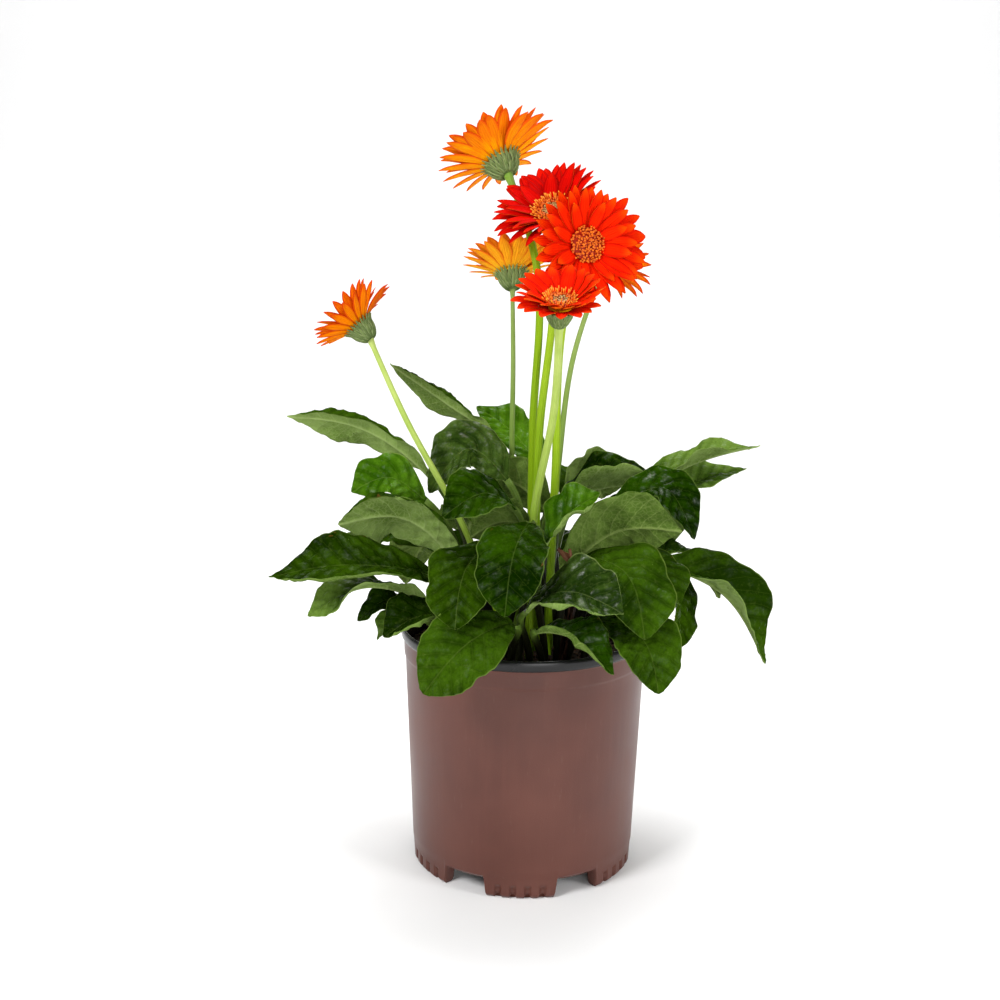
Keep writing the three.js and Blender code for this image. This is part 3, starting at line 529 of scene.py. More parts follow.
def add_studio():
    """A pale floor that curves up into a pale wall behind the object, and soft lights."""
    start = BACKDROP_DISTANCE - BACKDROP_BEND
    profile = [(-FLOOR_HALF, 0.0)]
    for i in range(BEND_STEPS + 1):
        y, z = polar(BACKDROP_BEND, 90 * i / BEND_STEPS - 90)
        profile.append((start + y, BACKDROP_BEND + z))
    profile.append((BACKDROP_DISTANCE, BACKDROP_HEIGHT))
    verts = [(x, y, z) for y, z in profile for x in (-FLOOR_HALF, FLOOR_HALF)]
    faces = [(2 * i, 2 * i + 1, 2 * i + 3, 2 * i + 2) for i in range(len(profile) - 1)]
    look = Looks("floor_pale", roughness=0.9, specular=0.1)
    look.inputs["Base Color"].default_value = FLOOR_PALE
    floor = add_object("studio_floor", verts, faces, [look.material])

    world = bpy.data.worlds.new("studio")
    world.use_nodes = True
    background = world.node_tree.nodes["Background"].inputs
    background["Color"].default_value = (1, 1, 1, 1)
    background["Strength"].default_value = WORLD_LIGHT
    bpy.context.scene.world = world
    for name, light in LIGHTS.items():
        add_area_light(name, *light)
    bpy.context.scene.view_settings.view_transform = "Standard"


add_camera()
add_studio()

# ------------------------------------------------------------------ pot

RIM_RADIUS = 81.0
POT_HEIGHT = 159.0
WALL_TOP_RADIUS = 79.1
WALL_FOOT_RADIUS = 73.0
WALL_THICKNESS = 1.8
INNER_FOOT_RADIUS = WALL_FOOT_RADIUS - WALL_THICKNESS - 0.8
WALL_ROWS = 16
LIP_HEIGHT = 8.0
BAND_DROP = 19.0
BAND_STEP = 0.8
SKIRT_TOP = 20.0         # below this height the wall turns into feet
SKIRT_RADIUS = 73.25
SKIRT_ROWS = 17
FOOT_HEIGHT = 11.5
FOOT_COUNT = 6
FOOT_PITCH = 360 / FOOT_COUNT
FIRST_FOOT = -91.5
FOOT_HALF_ANGLE = 19.0
FOOT_DEPTH = 9.0
FLUTES_PER_FOOT = 5
GROOVE_DEPTH = 1.9
GROOVE_HALF_ANGLE = 1.75
FINE_STEPS = 100         # around a foot
WIDE_STEPS = 10          # from one foot to the next
FLOOR_RADIUS = 66.5
FLOOR_EDGE = 63.0        # where the inner sides of the feet meet the floor
DRAIN_RADIUS = 4.5
DRAIN_DISTANCE = 57.0
SECTOR_POINTS = 32
SOIL_TOP = POT_HEIGHT - 16.0
ROOT_DEPTH = 7.0
BROWN, BLACK = 0, 1


def foot_share(angle):
    """1 where a foot stands, 0 between the feet, and how far this angle is from its middle."""
    off = (angle - FIRST_FOOT + FOOT_PITCH / 2) % FOOT_PITCH - FOOT_PITCH / 2
    return 1 - smooth(FOOT_HALF_ANGLE - 1.6, FOOT_HALF_ANGLE, abs(off)), off


def groove_share(off):
    """1 in the middle of a groove between two flutes of a foot, 0 outside the grooves."""
    flute = 2 * FOOT_HALF_ANGLE / FLUTES_PER_FOOT
    best = 0.0
    for i in range(1, FLUTES_PER_FOOT):
        away = abs(off + FOOT_HALF_ANGLE - i * flute) / GROOVE_HALF_ANGLE
        best = max(best, 1 - away * away)
    return best


def pot_angles():
    """Angles around the pot: fine over the feet and their corners, wider between them."""
    angles = []
    gap = FOOT_PITCH - 2 * FOOT_HALF_ANGLE
    for i in range(FOOT_COUNT):
        middle = FIRST_FOOT + i * FOOT_PITCH
        for k in range(FINE_STEPS + 1):
            angles.append(middle - FOOT_HALF_ANGLE + 2 * FOOT_HALF_ANGLE * k / FINE_STEPS)
        for k in range(1, WIDE_STEPS):
            angles.append(middle + FOOT_HALF_ANGLE + gap * k / WIDE_STEPS)
    return angles


def wall_profile():
    """Radii and heights of the black part, from the floor up over the lip, and of the brown part
    that follows, down the outside."""
    top = POT_HEIGHT
    lip = top - LIP_HEIGHT
    band = top - BAND_DROP
    inside = WALL_TOP_RADIUS - WALL_THICKNESS
    below_band = WALL_TOP_RADIUS - BAND_STEP - 0.35
    black = [
        (INNER_FOOT_RADIUS, FOOT_HEIGHT + 5), (72.0, 40.0), (74.4, 90.0), (inside - 0.3, lip - 6),
        (inside, lip - 1), (77.6, lip + 2), (77.9, top - 3), (78.2, top - 1.2), (78.7, top - 0.5),
        (79.3, top - 0.1), (79.9, top), (80.4, top - 0.4), (80.8, top - 1.1),
        (RIM_RADIUS, top - 2.2), (RIM_RADIUS - 0.05, top - 4.4), (80.7, lip + 2.4),
        (80.4, lip + 1.6), (79.7, lip + 0.9),
    ]
    brown = [
        (79.2, lip + 0.4), (WALL_TOP_RADIUS, lip - 0.4), (78.95, lip - 4),
        (WALL_TOP_RADIUS - 0.35, band + 1.6), (78.65, band + 0.9), (78.4, band + 0.2),
        (78.1, band - 0.5),
    ]
    for k in range(WALL_ROWS + 1):
        share = k / WALL_ROWS
        r = mix(below_band, SKIRT_RADIUS, share)
        brown.append((r, mix(band - 1.2, SKIRT_TOP, share)))
    return black, brown


def skirt_place(angle, share):
    """Radius and height on the lowest part of the wall, whose lower edge runs around the feet and
    turns inward."""
    stands, off = foot_share(angle)
    groove = groove_share(off) * stands
    bottom = mix(FOOT_HEIGHT + 0.7, 1.5 * groove, stands)
    z = mix(SKIRT_TOP, bottom, share)
    drawn = smooth(3.0, 0.0, z - bottom)
    r = mix(SKIRT_RADIUS, mix(WALL_FOOT_RADIUS - 0.1, 72.5, stands), smooth(SKIRT_TOP, 11.0, z))
    r -= drawn * drawn * mix(2.0, 2.2, stands)
    r -= GROOVE_DEPTH * groove ** 0.5 * (1 - smooth(6.5, 9.8, z))
    return r, z


def make_pot():
    build = Builder()
    angles = pot_angles()
    black, brown = wall_profile()
    rows = [build.ring(r, angles, z) for r, z in black + brown]
    for k in range(1, SKIRT_ROWS + 1):
        row = []
        for a in angles:
            r, z = skirt_place(a, k / SKIRT_ROWS)
            row.append(build.point((*polar(r, a), z)))
        rows.append(row)
    # Under the pot: radius and height on a foot, and radius between the feet
    inner = WALL_FOOT_RADIUS - FOOT_DEPTH
    for r_foot, z_foot, r_gap in ((69.0, 0.0, 69.5), (66.5, 0.0, 67.5), (64.6, 0.6, 65.4),
                                  (inner, 2.0, 64.6), (inner, 6.0, 64.4),
                                  (inner - 0.2, FOOT_HEIGHT - 1, 64.2)):
        row = []
        for a in angles:
            stands = foot_share(a)[0]
            z = mix(FOOT_HEIGHT, z_foot, stands)
            row.append(build.point((*polar(mix(r_gap, r_foot, stands), a), z)))
        rows.append(row)
    inmost = len(rows)
    for r, z in ((FLOOR_EDGE, 0), (FLOOR_EDGE, WALL_THICKNESS),
                 (FLOOR_RADIUS - 0.5, WALL_THICKNESS), (INNER_FOOT_RADIUS - 1.2, 3)):
        rows.append(build.ring(r, angles, FOOT_HEIGHT + z))
    build.grid(rows[:len(black)], BLACK, closed=True)
    build.grid(rows[len(black) - 1:inmost], BROWN, closed=True)
    build.grid(rows[inmost - 1:] + rows[:1], BLACK, closed=True)
    add_floor(build, FLOOR_EDGE + 0.3)
    build.make("pot_moulded", "pot", "pot_plastic", [PLASTICS["brown"], PLASTICS["black"]])


def add_floor(build, radius):
    """The pot's floor with its six round drain holes: each sector is a ring around its hole."""
    low, high = FOOT_HEIGHT, FOOT_HEIGHT + WALL_THICKNESS
    for i in range(FOOT_COUNT):
        middle = FIRST_FOOT + (i + 0.5) * FOOT_PITCH
        hole_x, hole_y = polar(DRAIN_DISTANCE, middle)
        edge = sector_outline(radius, middle, SECTOR_POINTS)
        hole = []
        for x, y in edge:
            a = math.atan2(y - hole_y, x - hole_x)
            hole.append((hole_x + DRAIN_RADIUS * math.cos(a), hole_y + DRAIN_RADIUS * math.sin(a)))
        rings = []
        for outline, z in ((edge, low), (hole, low), (hole, high), (edge, high)):
            rings.append([build.point((x, y, z)) for x, y in outline])
        build.grid(rings + [rings[0]], BLACK, closed=True)


def sector_outline(radius, middle, count):
    """count points around a sector of the floor, seen anticlockwise."""
    arc = count // 2
    first, last = middle - FOOT_PITCH / 2, middle + FOOT_PITCH / 2
    points = [polar(radius, first + FOOT_PITCH * k / arc) for k in range(arc + 1)]
    rest = count - arc - 1
    half = (rest + 1) // 2
    for k in range(1, half + 1):
        points.append(polar(radius * (1 - k / half), last))
    for k in range(1, rest - half + 1):
        points.append(polar(radius * k / (rest - half + 1), first))
    return points


# ------------------------------------------------------------------ soil

SOIL_RADIUS = 76.4
SOIL_COLUMNS = 150
SOIL_RINGS = 46
SOIL_FOOT = ((69.6, 5.5), (65.2, 2.2))   # radius and height over the feet of its lowest rings
CRUMBS = 620
CRUMB_REACH = 75.0
CRUMB_COLUMNS = 7


def soil_height(x, y):
    """The height of the soil's rough top: hills, lumps and grains."""
    height = SOIL_TOP
    for seed, scale, rise in ((0, 0.09, 2.2), (7, 0.33, 0.9), (3, 0.9, 0.35)):
        height += noise.noise(Vector((x, y, seed)) * scale) * rise
    return height


def add_crumb(build, place, size, seed):
    """A rough lump: a ball of few faces whose points are pushed in and out."""
    long, wide, tall = 1 + 0.9 * abs(variation(seed + 2)), about(1, 0.6, seed + 4), 0.7
    rings = []
    for i in range(5):
        lat = math.radians(-70 + 35 * i)
        ring = []
        for j in range(CRUMB_COLUMNS):
            lon = seed * 2.4 + math.tau * (j + 0.5 * (i % 2)) / CRUMB_COLUMNS
            bump = about(1, 0.5, seed + 3 * i + 5 * j)
            x = math.cos(lon) * math.cos(lat) * long * bump
            y = math.sin(lon) * math.cos(lat) * wide * bump
            lump = Vector((x, y, math.sin(lat) * tall * bump))
            ring.append(build.point(Vector(place) + lump * size))
        rings.append(ring)
    build.body(rings)


def make_soil():
    build = Builder()
    angles = [360 * j / SOIL_COLUMNS for j in range(SOIL_COLUMNS)]
    rows = []
    for k in range(SOIL_RINGS + 1):
        row = []
        for a in angles:
            x, y = polar(SOIL_RADIUS * (1 - k / (SOIL_RINGS + 1)), a)
            row.append(build.point((x, y, soil_height(x, y))))
        rows.append(row)
    centre = build.point((0, 0, soil_height(0, 0)))
    foot, low = (build.ring(r, angles, FOOT_HEIGHT + z) for r, z in SOIL_FOOT)
    build.grid([low, foot] + rows, closed=True)
    for j in range(SOIL_COLUMNS):
        build.face((rows[-1][j], rows[-1][(j + 1) % SOIL_COLUMNS], centre))
    build.face(tuple(reversed(low)))
    for k in range(CRUMBS):
        reach = CRUMB_REACH * math.sqrt((k + 0.5) / CRUMBS)
        x, y = polar(reach, about(k * GOLDEN_ANGLE, 9, k))
        size = 0.9 + 1.7 * abs(variation(7 * k + 1)) + (1.2 if k % 23 == 0 else 0)
        add_crumb(build, (x, y, soil_height(x, y) + 0.2 * size), size, k)
    build.make("soil_crumbly", "soil", "potting_soil", [SOIL])


# ------------------------------------------------------------------ leaves

PETIOLE_HALF_WIDTH = 2.3
PETIOLE_DEPTH = 2.8
PETIOLE_TAPER = 0.6
PETIOLE_EDGE = 0.8
PETIOLE_ROWS = 16
CHANNEL_DEPTH = 0.55     # of the groove along the top of a leaf's stalk
LEAF_EDGE = 0.55
MARGIN_WAVES = 2.2
MARGIN_FRILLS = 6.3
PUCKER = 0.19            # height between the veins, in vein spacings
FINE_PUCKER = 0.1        # and of the smaller puckers in it
MIDRIB_GROOVE = 0.75     # depth in mm
NO_ROLL = (1, 1.0, 0)
COLUMNS = 14             # on each side of the midrib
ACROSS = [math.copysign((abs(j) / COLUMNS) ** 1.3, j) for j in range(-COLUMNS, COLUMNS + 1)]
# Each tone's looks on the top and underneath
TONES = {
    "silver": ("silver", "felt_pale"),
    "cupped": ("deep", "felt_pale"),
    "deep": ("deep", "felt"),
    "glossy": ("glossy", "felt"),
    "dark": ("dark", "felt"),
    "bright": ("bright", "felt_pale"),
    "green": ("green", "felt"),
    "light": ("light", "felt_pale"),
    "pale": ("green", "felt_pale"),
}


def leaf(root, neck, mid, tip, half, face, tone, phase, **shape):
    """A leaf whose stalk rises from root (distance and angle) to neck and whose blade runs over
    mid to tip. half is its half-width, face the way its top looks, phase shifts its waves.

    Of the shape, point is how pointed it is, fold its halves' slope in degrees, bow and wave the
    rise and the waves of its margins, tip_face the way its tip looks, ribs the height between
    its side veins in vein spacings. roll is the side of the midrib (1 or -1) where the margin
    rolls, the share of the way out where that starts and how far it turns in degrees, up over
    the top or, for a negative number, down under the leaf."""
    usual = dict(point=0.4, fold=12, bow=0, wave=2.6, tip_face=face, ribs=0.04, roll=NO_ROLL)
    return SimpleNamespace(root=root, neck=neck, mid=mid, tip=tip, half=half, face=face,
                           tone=tone, phase=phase, **{**usual, **shape})


LEAVES = {
    # high on the left, undersides to the front
    "leaf_high_left": leaf((24, 180), (-64, 14, 256), (-108, 12, 286), (-155, 12, 292), 20,
        (0.15, 0.75, 0.65), "pale", 0.1, point=0.8, fold=8, bow=-3, roll=(-1, 0.5, -155)),
    "leaf_upper_left": leaf((30, 120), (-22, 32, 278), (-55, 38, 300), (-91, 44, 323), 13,
        (0.3, 0.8, 0.5), "pale", 0.3, point=0.9, fold=10, bow=-2, roll=(-1, 0.5, -150)),
    "leaf_upper_back": leaf((24, 95), (10, 30, 252), (-8, 52, 276), (-34, 66, 292), 18,
        (0.1, -0.5, 0.85), "bright", 0.5),
    "leaf_crumpled_left": leaf((12, 200), (-13, 2, 254), (-36, 4, 274), (-63, 0, 245), 24,
        (-0.2, -0.45, 0.85), "silver", 0.7, wave=3.5),
    "leaf_round_left": leaf((31, 195), (-64, -18, 244), (-87, -24, 260), (-110, -28, 251), 17,
        (-0.1, -0.65, 0.7), "bright", 0.2, wave=2),
    # centre, behind the flower stalks, undersides to the front
    "leaf_felt_centre": leaf((20, 75), (14, 14, 230), (-4, 13, 248), (-33, 16, 257), 19,
        (0.1, 1, 0.2), "green", 0.4, point=0.9, fold=10),
    "leaf_felt_small": leaf((12, 255), (3, -17, 229), (-15, -21, 233), (-36, -28, 223), 18,
        (0.15, 0.8, 0.6), "green", 0.7, fold=10),
    # left, large
    "leaf_pale_left": leaf((28, 214), (-43, -24, 206), (-78, -33, 237), (-117, -40, 233), 28,
        (0.3, 0.75, 0.55), "pale", 0.9, fold=10, bow=-3, roll=(-1, 0.68, -150)),
    "leaf_behind_left": leaf((38, 178), (-58, 4, 208), (-86, 6, 222), (-111, 10, 215), 18,
        (-0.1, -0.6, 0.75), "dark", 0.4),
    "leaf_long_left": leaf((37, 210), (-51, -47, 199), (-106, -68, 215), (-157, -62, 205), 27,
        (-0.1, -0.35, 0.9), "dark", 0.6, point=0.9, fold=14, roll=(-1, 0.8, 90)),
    "leaf_curled_left": leaf((44, 222), (-62, -42, 186), (-98, -56, 199), (-134, -60, 180), 21,
        (0.2, 0.55, 0.8), "light", 0.15, fold=12, tip_face=(-0.6, -0.5, 0.6)),
    "leaf_grey_left": leaf((50, 210), (-68, -42, 178), (-86, -52, 189), (-104, -56, 176), 11,
        (-0.3, -0.5, 0.8), "green", 0.8),
    "leaf_narrow_left": leaf((52, 196), (-66, -22, 174), (-82, -24, 172), (-95, -24, 154), 9,
        (-0.4, -0.5, 0.8), "light", 0.35),
    "leaf_rim_left": leaf((42, 236), (-44, -58, 180), (-66, -74, 185), (-86, -82, 174), 17,
        (-0.2, -0.5, 0.85), "dark", 0.65, fold=16, bow=2, roll=(-1, 0.66, 120)),
    # front
    "leaf_olive_front": leaf((33, 240), (-22, -46, 224), (-38, -78, 214), (-43, -98, 184), 22,
        (-0.3, -0.8, 0.5), "dark", 0.1, point=0.1, roll=(-1, 0.8, 80)),
    "leaf_dark_front": leaf((22, 236), (-7, -37, 244), (-27, -54, 257), (-52, -60, 243), 22,
        (-0.1, -0.5, 0.85), "deep", 0.55, point=0.25),
    "leaf_centre_front": leaf((30, 262), (0, -58, 240), (-9, -88, 228), (-14, -108, 195), 22,
        (-0.15, -0.85, 0.5), "deep", 0.3, point=0.25, fold=14),
    "leaf_small_front": leaf((32, 292), (9, -56, 226), (22, -64, 246), (42, -66, 260), 16,
        (-0.2, -0.55, 0.8), "bright", 0.75, fold=24, ribs=0.08, roll=(1, 0.62, 110)),
    "leaf_silver_front": leaf((36, 274), (-2, -74, 190), (25, -101, 209), (54, -115, 200), 24,
        (0, -0.55, 0.85), "silver", 0.45, point=0.75, fold=10, bow=2, wave=3, ribs=0.085,
        roll=(1, 0.72, 125)),
    "leaf_low_front": leaf((42, 284), (6, -74, 178), (28, -98, 180), (50, -108, 161), 17,
        (0.25, -0.4, 0.85), "glossy", 0.2, point=0.7, fold=30, ribs=0.07, roll=(1, 0.66, 130)),
    "leaf_over_rim_front": leaf((42, 257), (-8, -70, 180), (-36, -100, 176), (-61, -106, 147), 24,
        (-0.25, -0.8, 0.5), "green", 0.85, point=0.1, fold=8),
    "leaf_ribbed_front": leaf((36, 302), (34, -48, 216), (58, -76, 214), (68, -103, 181), 26,
        (0.35, -0.7, 0.6), "green", 0.6, point=0.15, ribs=0.1),
    "leaf_over_rim_right": leaf((43, 306), (42, -62, 180), (69, -90, 176), (77, -104, 148), 22,
        (0.4, -0.75, 0.5), "green", 0.25, point=0.3, fold=10),
    # right
    "leaf_pale_right": leaf((27, 318), (24, -36, 205), (55, -42, 232), (94, -48, 233), 28,
        (-0.2, 0.85, 0.45), "green", 0.5, point=0.7, fold=10, bow=-2),
    "leaf_gloss_right": leaf((28, 332), (52, -20, 238), (84, -26, 256), (103, -40, 226), 19,
        (0.4, -0.5, 0.75), "glossy", 0.05, ribs=0.07),
    "leaf_hidden_right": leaf((44, 325), (60, -34, 196), (80, -44, 208), (94, -54, 188), 18,
        (0.4, -0.5, 0.75), "green", 0.7),
    "leaf_grey_right": leaf((48, 342), (71, -19, 187), (93, -26, 187), (94, -42, 155), 22,
        (0.8, -0.4, 0.3), "dark", 0.4, point=0.1),
    "leaf_drooping_right": leaf((38, 350), (80, -8, 201), (123, -13, 188), (155, -18, 139), 27,
        (0, -0.2, 0.98), "pale", 0.95, point=0.55, fold=38, tip_face=(0.75, -0.4, 0.5), ribs=0.075),
    "leaf_cupped_right": leaf((18, 20), (18, 8, 238), (48, 6, 250), (87, 5, 251), 24, (0, -0.1, 1),
        "cupped", 0.3, fold=46, roll=(1, 0.7, 70)),
    "leaf_light_right": leaf((29, 10), (66, 18, 238), (108, 27, 262), (154, 34, 273), 18,
        (-0.1, 0, 1), "light", 0.8, point=0.9, fold=28),
    "leaf_light_under": leaf((38, 14), (70, 22, 225), (106, 29, 247), (146, 36, 257), 18,
        (0, -0.3, 1), "light", 0.15, point=0.9, fold=18),
    "leaf_olive_back": leaf((29, 38), (26, 27, 238), (40, 32, 254), (60, 37, 261), 15,
        (-0.1, 0.8, 0.5), "pale", 0.45),
    # back
    "leaf_back_right": leaf((30, 62), (28, 48, 224), (45, 82, 244), (56, 114, 219), 26,
        (0.1, 0.4, 0.9), "green", 0.6),
    "leaf_back_low": leaf((44, 84), (12, 58, 178), (17, 95, 196), (21, 123, 160), 27,
        (0, 0.5, 0.85), "dark", 0.35),
    "leaf_back_left": leaf((32, 110), (-18, 42, 198), (-31, 78, 218), (-42, 113, 190), 26,
        (-0.1, 0.4, 0.9), "green", 0.8),
}

# Pairs of leaves that grow from one base
LEAF_PAIRS = {
    "leaf_pair_right": (
        leaf((40, 37), (48, 42, 206), (80, 70, 222), (104, 96, 190), 27, (0.3, 0.3, 0.9), "green",
            0.1),
        leaf((40, 33.5), (68, 30, 184), (108, 48, 198), (136, 62, 160), 24, (0.3, 0.2, 0.9),
            "green", 0.5),
    ),
    "leaf_pair_left": (
        leaf((42, 134), (-38, 50, 176), (-67, 82, 194), (-85, 106, 156), 26, (-0.3, 0.4, 0.85),
            "green", 0.2),
        leaf((42, 137.5), (-50, 34, 194), (-92, 55, 209), (-128, 70, 180), 26, (-0.2, 0.2, 0.95),
            "green", 0.7),
    ),
}

# Dried scraps inside a leaf's own piece: points from the soil up, half-width, twist in degrees
# and material, which is 3 for withered stalks and 4 for yellowed bits
SCRAPS = {
    "leaf_ribbed_front": (
        (((23, -40, 142), (29, -54, 188), (31, -62, 210), (18, -63, 225)), 2.5, 420, 3),
        (((21, -38, 142), (26, -52, 184), (28, -61, 207), (25, -64, 225)), 1.6, -300, 3),
    ),
    "leaf_rim_left": (
        (((-40, -44, 142), (-48, -50, 150), (-56, -48, 158), (-63, -38, 161)), 3.0, 60, 4),
        (((-38, -50, 142), (-44, -56, 150), (-49, -56, 157), (-56, -50, 159)), 2.4, -50, 4),
    ),
}
SCRAP_ROWS = 10          # between two points
SCRAP_THICKNESS = 0.5
SCRAP_ACROSS = (-1, -0.6, -0.2, 0.2, 0.6, 1)


def blade_shape(t, point):
    """Half-width of the blade over its length: a wedge at the stalk, widest past the middle."""
    oval = math.sin(math.pi * min(t, 0.97) ** 1.3) ** 0.64
    closing = math.sqrt(max(0.0, 1 - (max(t - 0.95, 0.0) / 0.05) ** 2))
    return oval * (1 - point * t ** 8) * closing


def close_sheet(build, over, under, top=0, low=1, edge=0):
    """Makes a thin closed body of two sheets of points, rows running along it."""
    build.grid(over, top)
    build.grid([row[::-1] for row in under], low)
    for i in range(len(over) - 1):
        build.face((over[i][0], over[i + 1][0], under[i + 1][0], under[i][0]), edge)
        build.face((over[i][-1], under[i][-1], under[i + 1][-1], over[i + 1][-1]), edge)
    for j in range(len(over[0]) - 1):
        build.face((over[0][j], under[0][j], under[0][j + 1], over[0][j + 1]), edge)
        build.face((over[-1][j], over[-1][j + 1], under[-1][j + 1], under[-1][j]), edge)


def add_strip(build, stations, across, thick, crown, draw, marks, teeth=0.0):
    """A thin strip along stations of (share, place, direction, normal, half-width); teeth is how
    deep two notches cut into its end."""
    over, under = [], []
    for s, at, direction, normal, half in stations:
        side = direction.cross(normal)
        upper, lower = [], []
        for u in across:
            notch = 0.5 * teeth * (math.cos(3 * math.pi * u) - 1) * smooth(0.8, 1.0, s)
            p = at + side * (u * half) + normal * crown(u, s) + direction * notch
            upper.append(build.point(p, (u, s, draw)))
            lower.append(build.point(p - normal * (thick * (1 - 0.5 * abs(u) ** 3)), (u, s, draw)))
        over.append(upper)
        under.append(lower)
    close_sheet(build, over, under, marks[0], marks[1], marks[1])


def rolled(out, width, roll):
    """Where a point this far out lies once its margin is rolled: out, up and the turn there."""
    hand, start, degrees = roll
    begin = start * width
    beyond = out * hand - begin
    if beyond <= 0 or degrees == 0:
        return out, 0.0, 0.0
    full = math.radians(abs(degrees))
    bend = full / (width - begin)
    turn = min(beyond * bend, full)
    way = math.copysign(1, degrees)
    up = way * (1 - math.cos(turn)) / bend
    return hand * (begin + math.sin(turn) / bend), up, hand * way * turn


def leaf_row(build, at, direction, look, sheet, width, rib, relief, edge=PETIOLE_EDGE, slope=0.0,
             lift=lambda u: 0.0, outline=lambda u: 1.0, roll=NO_ROLL):
    """One row of points across the leaf, on the top and on the underside, for u from -1 to 1;
    sheet(u) gives what the material reads."""
    normal = (look - direction * look.dot(direction)).normalized()
    side = direction.cross(normal)
    over, under = [], []
    for u in ACROSS:
        out = u * width * outline(u)
        flat, curl, turn = rolled(out, width, roll)
        raised = lift(u) + relief(u)
        p = at + side * (flat * math.cos(slope) - raised * math.sin(turn))
        p += normal * (abs(flat) * math.sin(slope) + curl + raised * math.cos(turn))
        reach = out / (PETIOLE_HALF_WIDTH + 0.3)
        depth = edge / math.cos(slope) * (1 - 0.4 * u * u) + rib * max(0.0, 1 - reach * reach)
        below = normal * math.cos(turn) - side * math.sin(turn)
        over.append(build.point(p, sheet(u)))
        under.append(build.point(p - below * depth, sheet(u)))
    return over, under


def vein_place(across, along):
    """The number of the side vein that runs through this place, counted along the midrib. Both
    distances are in vein spacings."""
    return along - VEIN_SLANT * abs(across) - VEIN_BEND * across * across


def channel(u):
    return -CHANNEL_DEPTH * (1 - u * u)


def add_leaf(build, leaf, seed):
    face, tip_face = Vector(leaf.face), Vector(leaf.tip_face)
    x, y = polar(*leaf.root)
    inward = Vector((*polar(-1, leaf.root[1]), 0.2))
    curve = StalkCurve([(x, y, SOIL_TOP + 1), leaf.neck, leaf.mid, leaf.tip], 0.75)
    rows = []

    def add_stalk_row(at, direction, s):
        rows.append(leaf_row(build, at, direction, inward.lerp(face, s), lambda u: (u, s, 0.0),
                             PETIOLE_HALF_WIDTH, PETIOLE_DEPTH - PETIOLE_TAPER * s, channel))

    add_stalk_row(Vector((x, y, SOIL_TOP - ROOT_DEPTH)), UP, 0.0)
    for k in range(PETIOLE_ROWS + 1):
        add_stalk_row(*curve.at(0, k / PETIOLE_ROWS), k / PETIOLE_ROWS)
    close_sheet(build, *zip(*rows), 2, 2, 2)

    rows = []
    spacing = 4.6 + 0.2 * leaf.half
    count = 72 if leaf.half > 20 else 54
    for k in range(count + 1):
        t = k / count
        stretch, s = (1, t * 2) if t < 0.5 else (2, t * 2 - 1)
        at, direction = curve.at(stretch, s)
        lap = mix(curve.knots[stretch], curve.knots[stretch + 1], s)
        along = (lap - curve.knots[1]) / spacing
        spread = blade_shape(t, leaf.point)
        lobes = 1 + 0.06 * math.sin(17 * t + leaf.phase)
        full = leaf.half * spread * lobes
        width = max(full, PETIOLE_HALF_WIDTH if t < 0.2 else 0.3)
        opened = smooth(0.0, 0.16, t)

        def outline(u):
            q = vein_place(full / spacing, along) + 0.12 * (u > 0)
            notch = 0.016 * math.cos(math.tau * q) * spread
            rough = 0.075 * noise.noise(Vector((0.9 * along, seed, u > 0)))
            return 1 + opened * (notch + rough) * abs(u)

        def relief(u):
            x = u * width / spacing
            q = vein_place(x, along) + (0.5 if u > 0 else 0.0)
            ridge = abs(math.sin(math.pi * q)) ** 0.75 - 0.45
            away = smooth(0.02, 0.22, abs(x)) * (1 - 0.55 * smooth(0.7, 1.0, abs(u)))
            pucker = noise.noise(Vector((x * 1.5, along * 1.5, seed * 3.7)))
            fine = noise.noise(Vector((x * 3.6, along * 3.6, seed * 1.3)))
            blade = leaf.ribs * ridge + PUCKER * pucker + FINE_PUCKER * fine
            blade = away * spacing * blade - MIDRIB_GROOVE * math.exp(-(x / 0.11) ** 2)
            return mix(channel(u), blade * smooth(0.0, 0.06, spread), opened)

        def lift(u):
            way = math.copysign(1, u)
            ripple = math.sin(math.tau * (MARGIN_WAVES * t + leaf.phase + 0.21 * way))
            frill = math.sin(math.tau * (MARGIN_FRILLS * t + 2 * leaf.phase + 0.4 * way))
            waves = leaf.wave * (ripple + 0.22 * frill * abs(u))
            return (leaf.bow + waves) * spread * u * u

        hand, start, degrees = leaf.roll
        degrees *= smooth(0.1, 0.4, t) * (1 - smooth(0.8, 1.0, t))
        rows.append(leaf_row(
            build, at, direction, face.lerp(tip_face, t),
            lambda u: (u * width / spacing, along, abs(u)), width,
            (PETIOLE_DEPTH - PETIOLE_TAPER) * (1 - t) ** 1.2, relief,
            mix(PETIOLE_EDGE, LEAF_EDGE, opened), math.radians(leaf.fold) * spread, lift, outline,
            (hand, start, degrees)))
    close_sheet(build, *zip(*rows), 0, 1, 1)


def add_scrap(build, points, half, twist, mark):
    """A dried strip through points, narrow and wrung round by twist degrees on its way."""
    curve = StalkCurve(points, 0.6)
    pieces = len(points) - 1
    front = Vector((0, -1, 0.4))
    stations = []
    for i in range(pieces * SCRAP_ROWS + 1):
        piece = min(i // SCRAP_ROWS, pieces - 1)
        at, direction = curve.at(piece, (i - piece * SCRAP_ROWS) / SCRAP_ROWS)
        s = i / (pieces * SCRAP_ROWS)
        flat = (front - direction * direction.dot(front)).normalized()
        normal = Matrix.Rotation(math.radians(twist * s), 3, direction) @ flat
        width = half * (0.45 + 0.55 * smooth(0.55, 0.85, s)) * (1 - 0.9 * smooth(0.88, 1.0, s))
        stations.append((s, at, direction, normal, width + 0.15))
    add_strip(build, stations, SCRAP_ACROSS, SCRAP_THICKNESS,
              lambda u, s: 0.5 * half * math.sin(7 * u + 19 * s), 0.5, (mark, mark))


